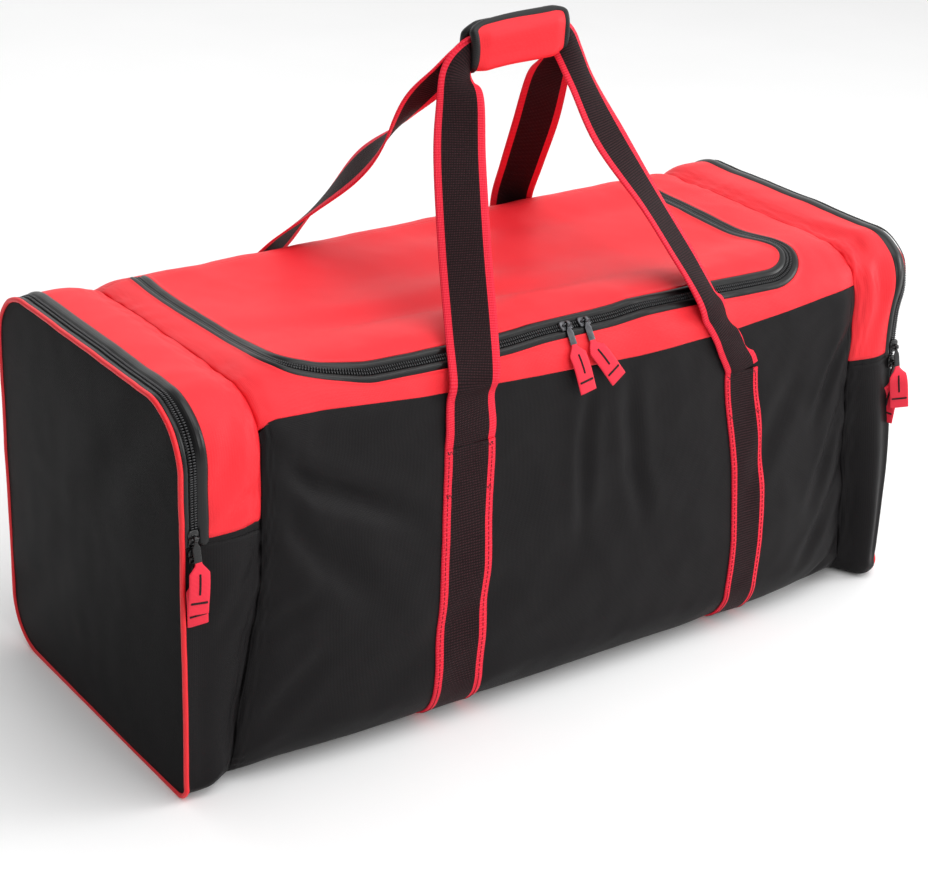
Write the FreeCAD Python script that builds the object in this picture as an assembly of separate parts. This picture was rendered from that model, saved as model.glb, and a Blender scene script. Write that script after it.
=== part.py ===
import FreeCAD, Part
import math
import os

# Large soft equipment bag: a boxy zipped body with a pocket at each end and two webbing handles.
# Millimetres. +X runs along the bag, -Y is its front, +Z is up.
# The origin is the middle of the footprint, on the ground.

os.makedirs("parts", exist_ok=True)

# Overall size of the zipped-up body, measured over the piping.
LENGTH = 914.0
DEPTH = 381.0
HEIGHT = 406.0

# Fabric layers.
FABRIC = 2.0
PIPING = 2.5
WEBBING = 2.2
WEBBING_LIFT = 0.3
WEBBING_WIDTH = 51.0
GAP = 0.3

# Cross-section: radii of the four long edges, and how far the big faces of the main body bulge.
# The main body is soft and rounds off under itself; the end pockets keep squarer bottom edges.
TOP_RADIUS = 60.0
MAIN_BOTTOM_RADIUS = 70.0
END_FRONT_BOTTOM_RADIUS = 14.0
END_BACK_BOTTOM_RADIUS = 50.0
SIDE_BULGE = 12.0
TOP_BULGE = 4.0

# Places along the bag and up its sides.
SEAM_X = 396.0
COLOUR_LINE_Z = 345.0
BOTTOM_SEAM_Z = 14.0
END_FOLD_Z = 256.0

# Lid: a U-shaped zip with its open side at the back, where the lid folds.
LID_HALF_WIDTH = 325.0
LID_FRONT_Y = -165.0
LID_FOLD_Y = 138.0
LID_CORNER = 50.0

# Zip, measured from its centre line outwards.
COIL_GAP = 1.35
COIL_EDGE = 2.8
TAPE_EDGE = 10.5
COIL_PROUD = 0.5
END_ZIP_X = 444.0
SLIDER_LENGTH = 15.0
SLIDER_WIDTH = 12.0
SLIDER_PLATE = 1.3
SLIDER_TOP = 0.9
SLIDER_UNDER = 2.8
SLIDER_SPACING = 19.0
BAIL_HEIGHT = 5.6
BAIL_WIRE = 1.1

# Pulls that hang on the sliders.
PULLER_LENGTH = 24.0
PULLER_WIDTH = 7.0
PULLER_THICK = 1.6
RIBBON_LENGTH = 46.0
RIBBON_WIDTH = 17.0
RIBBON_THICK = 2.4

# Handles: where their legs are sewn on, and where the two grips meet over the bag.
LEG_X = (-155.0, 210.0)
TACK_Z = 300.0
HANDLE_START = 3.0
HANDLE_CLEAR = 0.8
KNEE_Y = 196.0
KNEE_Z = 356.0
GRIP_X = (-20.0, 108.0)
GRIP_Z = 635.0
GRIP_Y = 2.25
GRIP_WEBBING_HEIGHT = 45.0
LEG_TOP_X = (-40.0, 128.0)
LEG_TOP_Z = 622.0
LEG_TOP_WIDTH = 30.0

# Padded wrap that holds the two grips together.
WRAP_HALF_DEPTH = 17.0
WRAP_HALF_HEIGHT = 28.0
WRAP_CORE_HALF_DEPTH = 5.0
WRAP_CORE_HALF_HEIGHT = 24.0
BINDING = 1.3
BINDING_WIDTH = 7.0

# Worked out from the sizes above.
HALF_DEPTH = DEPTH / 2 - PIPING
BASE_Z = PIPING
TOP_Z = HEIGHT - PIPING
END_X = LENGTH / 2 - 1.5
FAR = 600.0


def vec(x, y, z):
    return FreeCAD.Vector(x, y, z)


def block(x0, x1, y0, y1, z0, z1):
    """Box between two corners."""
    return Part.makeBox(x1 - x0, y1 - y0, z1 - z0, vec(x0, y0, z0))


def above(z):
    """Everything higher than z."""
    return block(-FAR, FAR, -FAR, FAR, z, FAR)


def below(z):
    """Everything lower than z."""
    return block(-FAR, FAR, -FAR, FAR, -FAR, z)


def save(name, shape):
    """Write one sub-part to its own STEP file."""
    shape = shape.removeSplitter()
    print(name, round(shape.Volume / 1000, 1), "cm3", len(shape.Solids), "solid(s)", shape.isValid())
    shape.exportStep("parts/" + name + ".step")


def mirrored(shape):
    """The same piece at the other end of the bag."""
    return shape.mirror(vec(0, 0, 0), vec(1, 0, 0))


def both_ends(name, shape):
    """Save a piece of the right end, and its mirror image at the left end."""
    save("right_" + name, shape)
    save("left_" + name, mirrored(shape))


# ---- body cross-section ------------------------------------------------------------------


def corner(y, z, radius, start_deg):
    """Quarter arc about (y, z), anticlockwise seen with +Y to the right."""
    points = []
    for step in range(3):
        angle = math.radians(start_deg + 45 * step)
        points.append(vec(0, y + radius * math.cos(angle), z + radius * math.sin(angle)))
    return Part.Arc(points[0], points[1], points[2]).toShape(), points[0], points[2]


def side(start, end, bulge):
    """Side of the cross-section: straight, or a shallow arc that stands out by the bulge."""
    if bulge == 0:
        return Part.LineSegment(start, end).toShape()
    along = (end - start).normalize()
    outward = vec(0, along.z, -along.y)
    middle = (start + end) * 0.5 + outward * bulge
    return Part.Arc(start, middle, end).toShape()


def section(offset, bulged):
    """Face of the whole cross-section, grown outwards by the offset."""
    side_bulge = SIDE_BULGE if bulged else 0
    top_bulge = TOP_BULGE if bulged else 0
    back_bottom = MAIN_BOTTOM_RADIUS if bulged else END_BACK_BOTTOM_RADIUS
    front_bottom = MAIN_BOTTOM_RADIUS if bulged else END_FRONT_BOTTOM_RADIUS
    corners = [
        (HALF_DEPTH - back_bottom, BASE_Z + back_bottom, back_bottom, -90),
        (HALF_DEPTH - TOP_RADIUS, TOP_Z - TOP_RADIUS, TOP_RADIUS, 0),
        (TOP_RADIUS - HALF_DEPTH, TOP_Z - TOP_RADIUS, TOP_RADIUS, 90),
        (front_bottom - HALF_DEPTH, BASE_Z + front_bottom, front_bottom, 180),
    ]
    bulges = [side_bulge, top_bulge, side_bulge, 0]
    arcs = [corner(y, z, radius + offset, start) for y, z, radius, start in corners]
    edges = []
    for index, (arc, _, arc_end) in enumerate(arcs):
        next_start = arcs[(index + 1) % 4][1]
        edges.append(arc)
        edges.append(side(arc_end, next_start, bulges[index]))
    return Part.Face(Part.Wire(edges))


def panel_reach(z):
    """How far the bulged front or back of the main body stands from the middle, at a height."""
    low = BASE_Z + MAIN_BOTTOM_RADIUS
    high = TOP_Z - TOP_RADIUS
    half = (high - low) / 2
    radius = (half**2 + SIDE_BULGE**2) / (2 * SIDE_BULGE)
    drop = radius - math.sqrt(radius**2 - (z - (low + high) / 2)**2)
    return HALF_DEPTH + SIDE_BULGE - drop


def prism(x0, x1, offset, bulged):
    """The solid cross-section between two places along the bag."""
    face = section(offset, bulged)
    face.translate(vec(x0, 0, 0))
    return face.extrude(vec(x1 - x0, 0, 0))


def layer(x0, x1, outer, inner, bulged):
    """Hollow band that follows the cross-section, between two offsets."""
    return prism(x0, x1, outer, bulged).cut(prism(x0 - 1, x1 + 1, inner, bulged))


# ---- lid outline -------------------------------------------------------------------------


def lid_outline(grow, back_y):
    """Tall plug with the U outline of the lid in plan, grown sideways and forwards."""
    half = LID_HALF_WIDTH + grow
    front = LID_FRONT_Y - grow
    radius = LID_CORNER + grow
    plug = block(-half, half, front, back_y, COLOUR_LINE_Z, FAR)
    long_edges = []
    for edge in plug.Edges:
        middle = edge.CenterOfMass
        if abs(abs(middle.x) - half) < 0.01 and abs(middle.y - front) < 0.01:
            long_edges.append(edge)
    return plug.makeFillet(radius, long_edges)


def lid_band(outer, inner, back_y):
    """U-shaped band between two grown outlines."""
    return lid_outline(outer, back_y).cut(lid_outline(inner, back_y + 1))


# ---- main body ---------------------------------------------------------------------------


def make_body_panels():
    shell = layer(-SEAM_X + 0.1, SEAM_X - 0.1, 0, -FABRIC, True)
    walls = shell.common(block(-FAR, FAR, -FAR, FAR, BOTTOM_SEAM_Z, COLOUR_LINE_Z))
    save("front_panel", walls.common(block(-FAR, FAR, -FAR, 0, 0, FAR)))
    save("back_panel", walls.common(block(-FAR, FAR, 0, FAR, 0, FAR)))
    save("bottom_panel", shell.common(below(BOTTOM_SEAM_Z)))
    crown = shell.common(above(COLOUR_LINE_Z))
    save("top_frame", crown.cut(lid_outline(TAPE_EDGE, LID_FOLD_Y)))
    save("lid_panel", crown.common(lid_outline(-TAPE_EDGE, LID_FOLD_Y - GAP)))


def make_lid_zip():
    tape = layer(-SEAM_X, SEAM_X, -0.2, -FABRIC, True)
    coil = layer(-SEAM_X, SEAM_X, COIL_PROUD, -FABRIC, True)
    save("opening_zip_tape", tape.common(lid_band(TAPE_EDGE, COIL_EDGE, LID_FOLD_Y)))
    save("opening_zip_coil", coil.common(lid_band(COIL_EDGE, COIL_GAP, LID_FOLD_Y)))
    save("lid_zip_coil", coil.common(lid_band(-COIL_GAP, -COIL_EDGE, LID_FOLD_Y - GAP)))
    save("lid_zip_tape", tape.common(lid_band(-COIL_EDGE, -TAPE_EDGE, LID_FOLD_Y - GAP)))


def make_dividers():
    both_ends("divider", prism(SEAM_X + 0.3, SEAM_X + 1.8, -FABRIC - 0.3, False))


# ---- end pockets -------------------------------------------------------------------------


def end_band(x0, x1, outer, inner, zone):
    """Part of the band round a pocket: x is measured for the right end."""
    return layer(x0, x1, outer, inner, False).common(zone)


def make_end_pockets():
    fixed = below(END_FOLD_Z - GAP)
    folding = above(END_FOLD_Z + GAP)
    start = SEAM_X + 0.1
    cap = END_X - FABRIC
    both_ends("gusset_lower", end_band(start, cap, 0, -FABRIC, fixed))
    both_ends("gusset_top", end_band(start, END_ZIP_X - TAPE_EDGE, 0, -FABRIC, above(END_FOLD_Z - GAP)))
    plate = prism(cap, END_X, 0, False)
    both_ends("end_panel", plate.common(fixed))
    both_ends("flap_panel", plate.common(folding))
    both_ends("piping", end_band(END_X - 3, LENGTH / 2, PIPING, 0.2, fixed))
    both_ends("flap_piping", end_band(END_X - 3, LENGTH / 2, PIPING, 0.2, folding))
    zip_x = END_ZIP_X
    both_ends("gusset_zip_tape", end_band(zip_x - TAPE_EDGE, zip_x - COIL_EDGE, -0.2, -FABRIC, folding))
    both_ends("gusset_zip_coil", end_band(zip_x - COIL_EDGE, zip_x - COIL_GAP, COIL_PROUD, -FABRIC, folding))
    both_ends("flap_zip_coil", end_band(zip_x + COIL_GAP, zip_x + COIL_EDGE, COIL_PROUD, -FABRIC, folding))
    both_ends("flap_zip_tape", end_band(zip_x + COIL_EDGE, cap, -0.2, -FABRIC, folding))


# ---- zip sliders and pulls ---------------------------------------------------------------
# Each is drawn flat, with its outward side up and its pull towards -Y, then tilted about X.


def slider(size_x, size_y, blade, wing_y0):
    """Slider: a plate above the tapes, a wing below them, a blade between and a bail on top."""
    plate_top = SLIDER_TOP + SLIDER_PLATE
    half_x = size_x / 2
    half_y = size_y / 2
    top = block(-half_x, half_x, -half_y, half_y, SLIDER_TOP, plate_top)
    top = top.makeFillet(2.5, [e for e in top.Edges if abs(e.tangentAt(e.FirstParameter).z) > 0.9])
    wing = block(-half_x, half_x, wing_y0, half_y, -SLIDER_UNDER - SLIDER_PLATE, -SLIDER_UNDER)
    blade_x, blade_y, blade_half_x, blade_half_y = blade
    post = block(blade_x - blade_half_x, blade_x + blade_half_x, blade_y - blade_half_y, blade_y + blade_half_y,
                 -SLIDER_UNDER - 0.5, SLIDER_TOP + 0.5)
    bar = Part.makeCylinder(BAIL_WIRE, 8.0, vec(-4.0, 0, BAIL_HEIGHT), vec(1, 0, 0))
    shape = top.fuse([wing, post, bar])
    for sign in (-1, 1):
        foot = Part.makeCylinder(BAIL_WIRE, BAIL_HEIGHT - plate_top + 0.5, vec(sign * 4.0, 0, plate_top - 0.5))
        ball = Part.makeSphere(BAIL_WIRE, vec(sign * 4.0, 0, BAIL_HEIGHT))
        shape = shape.fuse([foot, ball])
    return shape


def puller():
    """Metal tab with an eye that runs round the bail."""
    eye = Part.makeCylinder(3.1, 4.0, vec(-2.0, 0, BAIL_HEIGHT), vec(1, 0, 0))
    low = BAIL_HEIGHT - PULLER_THICK / 2
    high = BAIL_HEIGHT + PULLER_THICK / 2
    neck = block(-2.0, 2.0, -6.0, -1.0, low, high)
    tab = block(-PULLER_WIDTH / 2, PULLER_WIDTH / 2, -PULLER_LENGTH, -5.0, low, high)
    tab = tab.makeFillet(1.5, [e for e in tab.Edges if abs(e.tangentAt(e.FirstParameter).z) > 0.9])
    slot = block(-2.2, 2.2, -PULLER_LENGTH + 2.2, -PULLER_LENGTH + 4.2, low - 1, high + 1)
    hole = Part.makeCylinder(1.6, 6.0, vec(-3.0, 0, BAIL_HEIGHT), vec(1, 0, 0))
    return eye.fuse([neck, tab]).cut(hole).cut(slot)


def ribbon():
    """Folded ribbon that lengthens the pull."""
    tail = -PULLER_LENGTH - 0.2 - RIBBON_LENGTH
    half = RIBBON_THICK / 2
    shape = block(-RIBBON_WIDTH / 2, RIBBON_WIDTH / 2, tail, -PULLER_LENGTH - 0.2, BAIL_HEIGHT - half,
                  BAIL_HEIGHT + half)
    return shape.makeFillet(3.0, [e for e in shape.Edges if abs(e.tangentAt(e.FirstParameter).z) > 0.9])


def placed(shape, x, y, z, tilt, drop):
    """Swing about the bail by the drop, tilt onto the surface, and move into place."""
    shape = shape.copy()
    shape.rotate(vec(0, 0, BAIL_HEIGHT), vec(1, 0, 0), drop)
    shape.rotate(vec(0, 0, 0), vec(1, 0, 0), tilt)
    shape.translate(vec(x, y, z))
    return shape


def save_zip_pull(prefix, body, x, y, z, tilt, drop):
    save(prefix + "_slider", placed(body, x, y, z, tilt, 0))
    save(prefix + "_puller", placed(puller(), x, y, z, tilt, drop))
    save(prefix + "_ribbon", placed(ribbon(), x, y, z, tilt, drop))


def make_lid_pulls():
    body = slider(SLIDER_LENGTH, SLIDER_WIDTH, (0, -0.6, 1.5, 0.2), -0.8)
    centre_y = TOP_RADIUS - HALF_DEPTH
    centre_z = TOP_Z - TOP_RADIUS
    slope = math.asin((centre_y - LID_FRONT_Y) / TOP_RADIUS)
    z = centre_z + TOP_RADIUS * math.cos(slope)
    for name, x in (("lid_left", -9.0), ("lid_right", 14.0)):
        save_zip_pull(name, body, x, LID_FRONT_Y, z, math.degrees(slope), 17.0)


def make_end_pulls():
    body = slider(SLIDER_WIDTH, SLIDER_LENGTH, (0, 0, 0.25, 1.5), -SLIDER_LENGTH / 2)
    for name, x in (("right", END_ZIP_X), ("left", -END_ZIP_X)):
        low_z = END_FOLD_Z + 1 + SLIDER_LENGTH / 2
        save_zip_pull(name + "_lower", body, x, -HALF_DEPTH, low_z, 90, 0)
        save_zip_pull(name + "_upper", body, x, -HALF_DEPTH, low_z + SLIDER_SPACING, 90, -14)


# ---- webbing -----------------------------------------------------------------------------


def make_straps():
    half = WEBBING_WIDTH / 2
    tacks = []
    for name, x in (("left_strap", LEG_X[0]), ("right_strap", LEG_X[1])):
        outer = WEBBING_LIFT + WEBBING
        save(name, layer(x - half, x + half, outer, WEBBING_LIFT, True).common(below(TACK_Z)))
        stitches = layer(x - half + 3, x + half - 3, outer + 0.7, outer, True)
        for z in (TACK_Z - 6, TACK_Z - 52):
            tacks.append(stitches.common(block(-FAR, FAR, -FAR, FAR, z, z + 3)))
    save("bar_tacks", Part.makeCompound([solid for tack in tacks for solid in tack.Solids]))


def plank(start, end, start_width, end_width, extra):
    """Flat run of webbing between two centre points, its ends parallel to X."""
    along = (end - start).normalize()
    start = start - along * extra
    end = end + along * extra
    slant = math.hypot(end.y - start.y, end.z - start.z)
    stretch = math.hypot(slant, end.x - start.x) / slant / 2
    low = vec(start_width * stretch, 0, 0)
    high = vec(end_width * stretch, 0, 0)
    normal = vec(1, 0, 0).cross(along).normalize() * WEBBING
    outline = Part.makePolygon([start - low, start + low, end + high, end - high, start - low])
    face = Part.Face(outline)
    face.translate(normal * -0.5)
    return face.extrude(normal)


def handle():
    """Loop of webbing at the front: two legs with a knee each, and the grip between them."""
    half = GRIP_WEBBING_HEIGHT / 2
    shape = block(LEG_TOP_X[0], LEG_TOP_X[1], -GRIP_Y - WEBBING / 2, -GRIP_Y + WEBBING / 2,
                  GRIP_Z - half, GRIP_Z + half)
    foot_z = TACK_Z + HANDLE_START
    foot_y = -panel_reach(foot_z) - HANDLE_CLEAR - WEBBING / 2
    for foot_x, top_x in zip(LEG_X, LEG_TOP_X):
        foot = vec(foot_x, foot_y, foot_z)
        knee = vec(foot_x, -KNEE_Y, KNEE_Z)
        top = vec(top_x, -GRIP_Y, LEG_TOP_Z)
        lower = plank(foot, knee, WEBBING_WIDTH, WEBBING_WIDTH, 0)
        upper = plank(knee, top, WEBBING_WIDTH, LEG_TOP_WIDTH, 0.6)
        shape = shape.fuse([lower, upper])
    return shape


def make_handles():
    front = handle()
    save("front_handle", front)
    save("back_handle", front.mirror(vec(0, 0, 0), vec(0, 1, 0)))


# ---- grip wrap ---------------------------------------------------------------------------


def stadium(x0, x1, half_depth, half_height):
    """Bar along X whose section is two half circles joined by straight sides."""
    straight = half_height - half_depth
    bar = block(x0, x1, -half_depth, half_depth, GRIP_Z - straight, GRIP_Z + straight)
    for sign in (-1, 1):
        centre = vec(x0, 0, GRIP_Z + sign * straight)
        bar = bar.fuse(Part.makeCylinder(half_depth, x1 - x0, centre, vec(1, 0, 0)))
    return bar.removeSplitter()


def make_wrap():
    x0, x1 = GRIP_X
    pad = stadium(x0, x1, WRAP_HALF_DEPTH, WRAP_HALF_HEIGHT)
    pad = pad.cut(stadium(x0 - 1, x1 + 1, WRAP_CORE_HALF_DEPTH, WRAP_CORE_HALF_HEIGHT))
    bands = []
    for start in (x0, x1 - BINDING_WIDTH):
        band = stadium(start, start + BINDING_WIDTH, WRAP_HALF_DEPTH + BINDING, WRAP_HALF_HEIGHT + BINDING)
        bands.append(band.cut(stadium(start - 1, start + BINDING_WIDTH + 1, WRAP_HALF_DEPTH, WRAP_HALF_HEIGHT)))
    front = block(-FAR, FAR, -FAR, -GAP, 0, 2 * FAR)
    back = block(-FAR, FAR, GAP, FAR, 0, 2 * FAR)
    for name, half in (("grip", front), ("grip_flap", back)):
        save(name + "_pad", pad.common(half))
        save(name + "_binding", Part.makeCompound([band.common(half) for band in bands]))


make_body_panels()
make_lid_zip()
make_dividers()
make_end_pockets()
make_lid_pulls()
make_end_pulls()
make_straps()
make_handles()
make_wrap()
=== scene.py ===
import math

import bmesh
import bpy
import numpy as np
from mathutils import Matrix, Vector


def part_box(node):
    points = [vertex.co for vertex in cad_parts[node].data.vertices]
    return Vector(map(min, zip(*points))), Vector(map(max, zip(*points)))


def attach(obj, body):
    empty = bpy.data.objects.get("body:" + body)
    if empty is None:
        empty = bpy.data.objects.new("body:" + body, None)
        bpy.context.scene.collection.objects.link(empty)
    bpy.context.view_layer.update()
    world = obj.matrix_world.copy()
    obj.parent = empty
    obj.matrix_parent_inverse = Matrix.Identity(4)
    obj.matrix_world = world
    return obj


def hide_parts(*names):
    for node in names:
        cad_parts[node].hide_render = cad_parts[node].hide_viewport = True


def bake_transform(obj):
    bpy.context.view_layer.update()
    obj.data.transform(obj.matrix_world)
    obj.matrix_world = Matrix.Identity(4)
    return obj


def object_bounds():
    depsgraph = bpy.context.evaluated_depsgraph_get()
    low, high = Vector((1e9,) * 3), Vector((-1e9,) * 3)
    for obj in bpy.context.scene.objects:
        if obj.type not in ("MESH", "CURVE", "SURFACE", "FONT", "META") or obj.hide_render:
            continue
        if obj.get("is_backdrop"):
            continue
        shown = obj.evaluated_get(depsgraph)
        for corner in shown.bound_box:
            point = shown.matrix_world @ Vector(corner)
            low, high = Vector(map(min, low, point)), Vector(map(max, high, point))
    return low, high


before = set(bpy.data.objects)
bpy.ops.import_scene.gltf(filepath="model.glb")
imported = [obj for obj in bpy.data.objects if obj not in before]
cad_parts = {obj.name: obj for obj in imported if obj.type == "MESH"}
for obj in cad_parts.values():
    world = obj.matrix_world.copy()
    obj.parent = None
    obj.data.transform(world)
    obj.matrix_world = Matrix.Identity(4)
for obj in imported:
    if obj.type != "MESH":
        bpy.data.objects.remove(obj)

cad_low, cad_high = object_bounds()
MM = 0.001
scene = bpy.context.scene


# ---- Camera, floor and light ---------------------------------------------------------------
# A bag this long is looked at from its front left corner, a little from above. It stands on a
# pale studio floor, in the light of large soft boxes and of white walls, dimmer on the left.

CAMERA_AT = (-1.2843, -1.7392, 1.2078)
CAMERA_AZIMUTH = -36.31
CAMERA_ELEVATION = 25.21
CAMERA_ROLL = 2.33
FLOOR_SIZE = 40.0


def look(azimuth, elevation, roll):
    """Rotation of a camera: its back axis points to that azimuth and elevation, then it rolls about it."""
    a, e, r = (math.radians(v) for v in (azimuth, elevation, roll))
    back = Vector((math.sin(a) * math.cos(e), -math.cos(a) * math.cos(e), math.sin(e)))
    right = Vector((0, 0, 1)).cross(back).normalized()
    up = back.cross(right)
    side = right * math.cos(r) + up * math.sin(r)
    head = up * math.cos(r) - right * math.sin(r)
    return Matrix((side, head, back)).transposed().to_4x4()


camera_data = bpy.data.cameras.new("camera")
camera_data.lens = 85.0
camera_data.sensor_width = 36.0
camera = bpy.data.objects.new("camera", camera_data)
camera.matrix_world = Matrix.Translation(CAMERA_AT) @ look(CAMERA_AZIMUTH, CAMERA_ELEVATION, CAMERA_ROLL)
scene.collection.objects.link(camera)
scene.camera = camera


def add(tree, kind, inputs=(), **settings):
    """New shader node of that kind: settings are its properties; inputs give sockets a value or a link."""
    node = tree.nodes.new(kind)
    for name, value in settings.items():
        setattr(node, name, value)
    for name, value in dict(inputs).items():
        socket = node.inputs[name]
        if isinstance(value, bpy.types.NodeSocket):
            tree.links.new(value, socket)
        else:
            socket.default_value = value
    return node


def colour(code):
    """sRGB hex to the linear colour that shaders take: the usual two-part transfer curve, channel by
    channel."""
    channels = [int(code[i:i + 2], 16) / 255 for i in (1, 3, 5)]
    linear = [c / 12.92 if c <= 0.04045 else ((c + 0.055) / 1.055) ** 2.4 for c in channels]
    return (*linear, 1.0)


def surface(name, **values):
    """Material with one Principled shader. Returns it, its node tree and the shader."""
    made = bpy.data.materials.new(name)
    made.use_nodes = True
    tree = made.node_tree
    shader = tree.nodes["Principled BSDF"]
    for key, value in values.items():
        shader.inputs[key.replace("_", " ")].default_value = value
    return made, tree, shader


def mixed(tree, factor, first, second):
    """Output of a colour mix. The two colours are sRGB hex or links, and the factor is a link."""
    ends = [colour(end) if isinstance(end, str) else end for end in (first, second)]
    mix = add(tree, "ShaderNodeMix", {"Factor": factor, "A": ends[0], "B": ends[1]}, data_type="RGBA")
    return mix.outputs["Result"]


def paint(tree, shader, factor, dark, light):
    """Base colour between a dark and a light one."""
    tree.links.new(mixed(tree, factor, dark, light), shader.inputs["Base Color"])


def emboss(tree, shader, height, strength, distance):
    """Fine relief of a surface from a link that gives its height."""
    bump = add(tree, "ShaderNodeBump", {"Height": height, "Strength": strength, "Distance": distance})
    tree.links.new(bump.outputs["Normal"], shader.inputs["Normal"])


def own_noise(tree, scale, detail, **more):
    """Output of a noise in the object's own coordinates."""
    place = add(tree, "ShaderNodeTexCoord")
    settings = {"Vector": place.outputs["Object"], "Scale": scale, "Detail": detail, **more}
    return add(tree, "ShaderNodeTexNoise", settings).outputs["Fac"]


# Studio floor: matt white paint, with a faint roller texture.
floor_paint, tree, shader = surface("matt_white_paint", Roughness=0.85, IOR=1.5)
paint(tree, shader, own_noise(tree, 3.0, 4.0), "#F9F9F9", "#FFFFFF")

floor_mesh = bpy.data.meshes.new("floor")
half = FLOOR_SIZE / 2
floor_corners = [(-half, -half, 0), (half, -half, 0), (half, half, 0), (-half, half, 0)]
floor_mesh.from_pydata(floor_corners, [], [(0, 1, 2, 3)])
floor_mesh.materials.append(floor_paint)
floor = bpy.data.objects.new("floor", floor_mesh)
scene.collection.objects.link(floor)
floor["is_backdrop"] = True

# Soft boxes: place in metres, side in metres, power in watts. Each looks at the middle of the bag.
SOFT_BOXES = {
    "overhead": ((0.4, -0.7, 2.7), 2.2, 34.0),
    "front": ((-0.2, -3.0, 1.9), 1.2, 20.0),
    "front_right": ((2.7, -1.4, 1.2), 1.2, 26.0),
    "behind": ((-0.4, 2.6, 2.2), 2.0, 12.0),
}
for name, (at, size, power) in SOFT_BOXES.items():
    lamp = bpy.data.lights.new(name, "AREA")
    lamp.shape = "SQUARE"
    lamp.size = size
    lamp.energy = power
    box = bpy.data.objects.new(name, lamp)
    aim = Vector((0, 0, 0.2)) - Vector(at)
    box.matrix_world = Matrix.Translation(at) @ aim.to_track_quat("-Z", "Y").to_matrix().to_4x4()
    scene.collection.objects.link(box)

world = bpy.data.worlds.new("studio")
world.use_nodes = True
tree = world.node_tree
place = add(tree, "ShaderNodeTexCoord")
axes = add(tree, "ShaderNodeSeparateXYZ", {"Vector": place.outputs["Generated"]})
level = add(tree, "ShaderNodeMapRange", {"Value": axes.outputs["X"], "From Min": -1.0, "To Min": 0.14,
                                         "To Max": 1.3})
tree.nodes["Background"].inputs["Color"].default_value = colour("#FFFFFF")
tree.links.new(level.outputs["Result"], tree.nodes["Background"].inputs["Strength"])
scene.world = world
scene.view_settings.view_transform = "Standard"


# ---- Body fabric: front, back and bottom panels --------------------------------------------
# The lower body is black polyester canvas with a coated back, cut as a front, a back and a
# bottom panel. It is stuffed softly, so it swells between the end seams and hangs in loose folds.

HALF_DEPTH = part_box("right_end_panel")[1].y / MM
BASE_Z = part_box("right_end_panel")[0].z / MM
TOP_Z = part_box("right_flap_panel")[1].z / MM
SEAM_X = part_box("front_panel")[1].x / MM
COLOUR_LINE_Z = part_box("front_panel")[1].z / MM
BOTTOM_SEAM_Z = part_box("front_panel")[0].z / MM
CAP_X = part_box("right_end_panel")[1].x / MM
FOLD_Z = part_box("right_flap_panel")[0].z / MM
LEG_X = tuple((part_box(n)[0].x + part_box(n)[1].x) / 2 / MM for n in ("left_strap", "right_strap"))
CANVAS = 1.4

# Corner radii of the cross-section. The bottom corners are measured out along the skin as if their radius
# were MAIN_FOOT, and drawn with MAIN_ROUND. The belly is how far the front hangs forward low down.
TOP_RADIUS = 60.0
MAIN_FOOT = 70.0
MAIN_ROUND = 47.0
END_FRONT_FOOT = 16.0
END_BACK_FOOT = 50.0
BELLY = 20.0

# Where the zips run: the ends' along x, the lid's front run at that running length. The skin keeps still
# round each end zip as far up as its sliders travel.
END_ZIP_X = 444.0
ZIP_P_SLIDERS = 553.4
SLIDER_TRAVEL = 80.0

# Running length round the cross-section, at the ends of its straight sides and corner arcs.
side_run = TOP_Z - BASE_Z - MAIN_FOOT - TOP_RADIUS
foot_run = MAIN_FOOT * math.pi / 2
shoulder_run = TOP_RADIUS * math.pi / 2
KNOTS = np.cumsum([0, HALF_DEPTH - MAIN_FOOT, foot_run, side_run, shoulder_run, 2 * (HALF_DEPTH - TOP_RADIUS),
                   shoulder_run, side_run, foot_run, HALF_DEPTH - MAIN_FOOT])
LOOP = KNOTS[-1]


def smooth(start, end, value):
    """0 before start and 1 after end, along 3t^2 - 2t^3 between them. Start may be the larger."""
    t = np.clip((value - start) / (end - start), 0, 1)
    return t * t * (3 - 2 * t)


def bell(value, centre, width):
    """1 at the centre, falling as exp(-(distance / width)^2)."""
    return np.exp(-(((value - centre) / width) ** 2))


def crease(x, p, start, end, width, depth):
    """Soft fold along a line on the skin: across it (1 - q^2) exp(-q^2 / 2), a valley with a low ridge
    each side; along it, it fades in and out. A negative depth is a ridge."""
    dx, dp = end[0] - start[0], end[1] - start[1]
    length = math.hypot(dx, dp)
    t = ((x - start[0]) * dx + (p - start[1]) * dp) / length**2
    q = ((x - start[0]) * dp - (p - start[1]) * dx) / length / width
    fade = smooth(-0.15, 0.3, t) * smooth(1.15, 0.6, t)
    return -depth * fade * (1 - q * q) * np.exp(-q * q / 2)


def ripples(x, p, wave, seed):
    """Irregular soft wrinkles: five folded sine waves of about that wavelength, each bent by another,
    averaged."""
    rng = np.random.default_rng(seed)
    total = np.zeros(np.broadcast(x, p).shape)
    for _ in range(5):
        turn, phase, stretch = rng.uniform(0, math.pi), rng.uniform(0, 6.28, 2), rng.uniform(0.7, 1.4)
        along = x * math.cos(turn) + p * math.sin(turn)
        across = p * math.cos(turn) - x * math.sin(turn)
        bend = 1.6 * np.sin(across * 2 * math.pi / (wave * 2.3) + phase[1])
        total += 1 - 1.6 * np.sqrt(np.sin(along * math.pi / (wave * stretch) + phase[0] + bend) ** 2 + 0.02)
    return total / 5


def foot_radii(x):
    """Radii of the bottom corners, front and back: round under the main body, tighter at the end pockets."""
    main = smooth(446, 340, np.abs(x))
    front = END_FRONT_FOOT + (MAIN_ROUND - END_FRONT_FOOT) * main
    rear = END_BACK_FOOT + (MAIN_ROUND - END_BACK_FOOT) * main
    return front, rear


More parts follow.
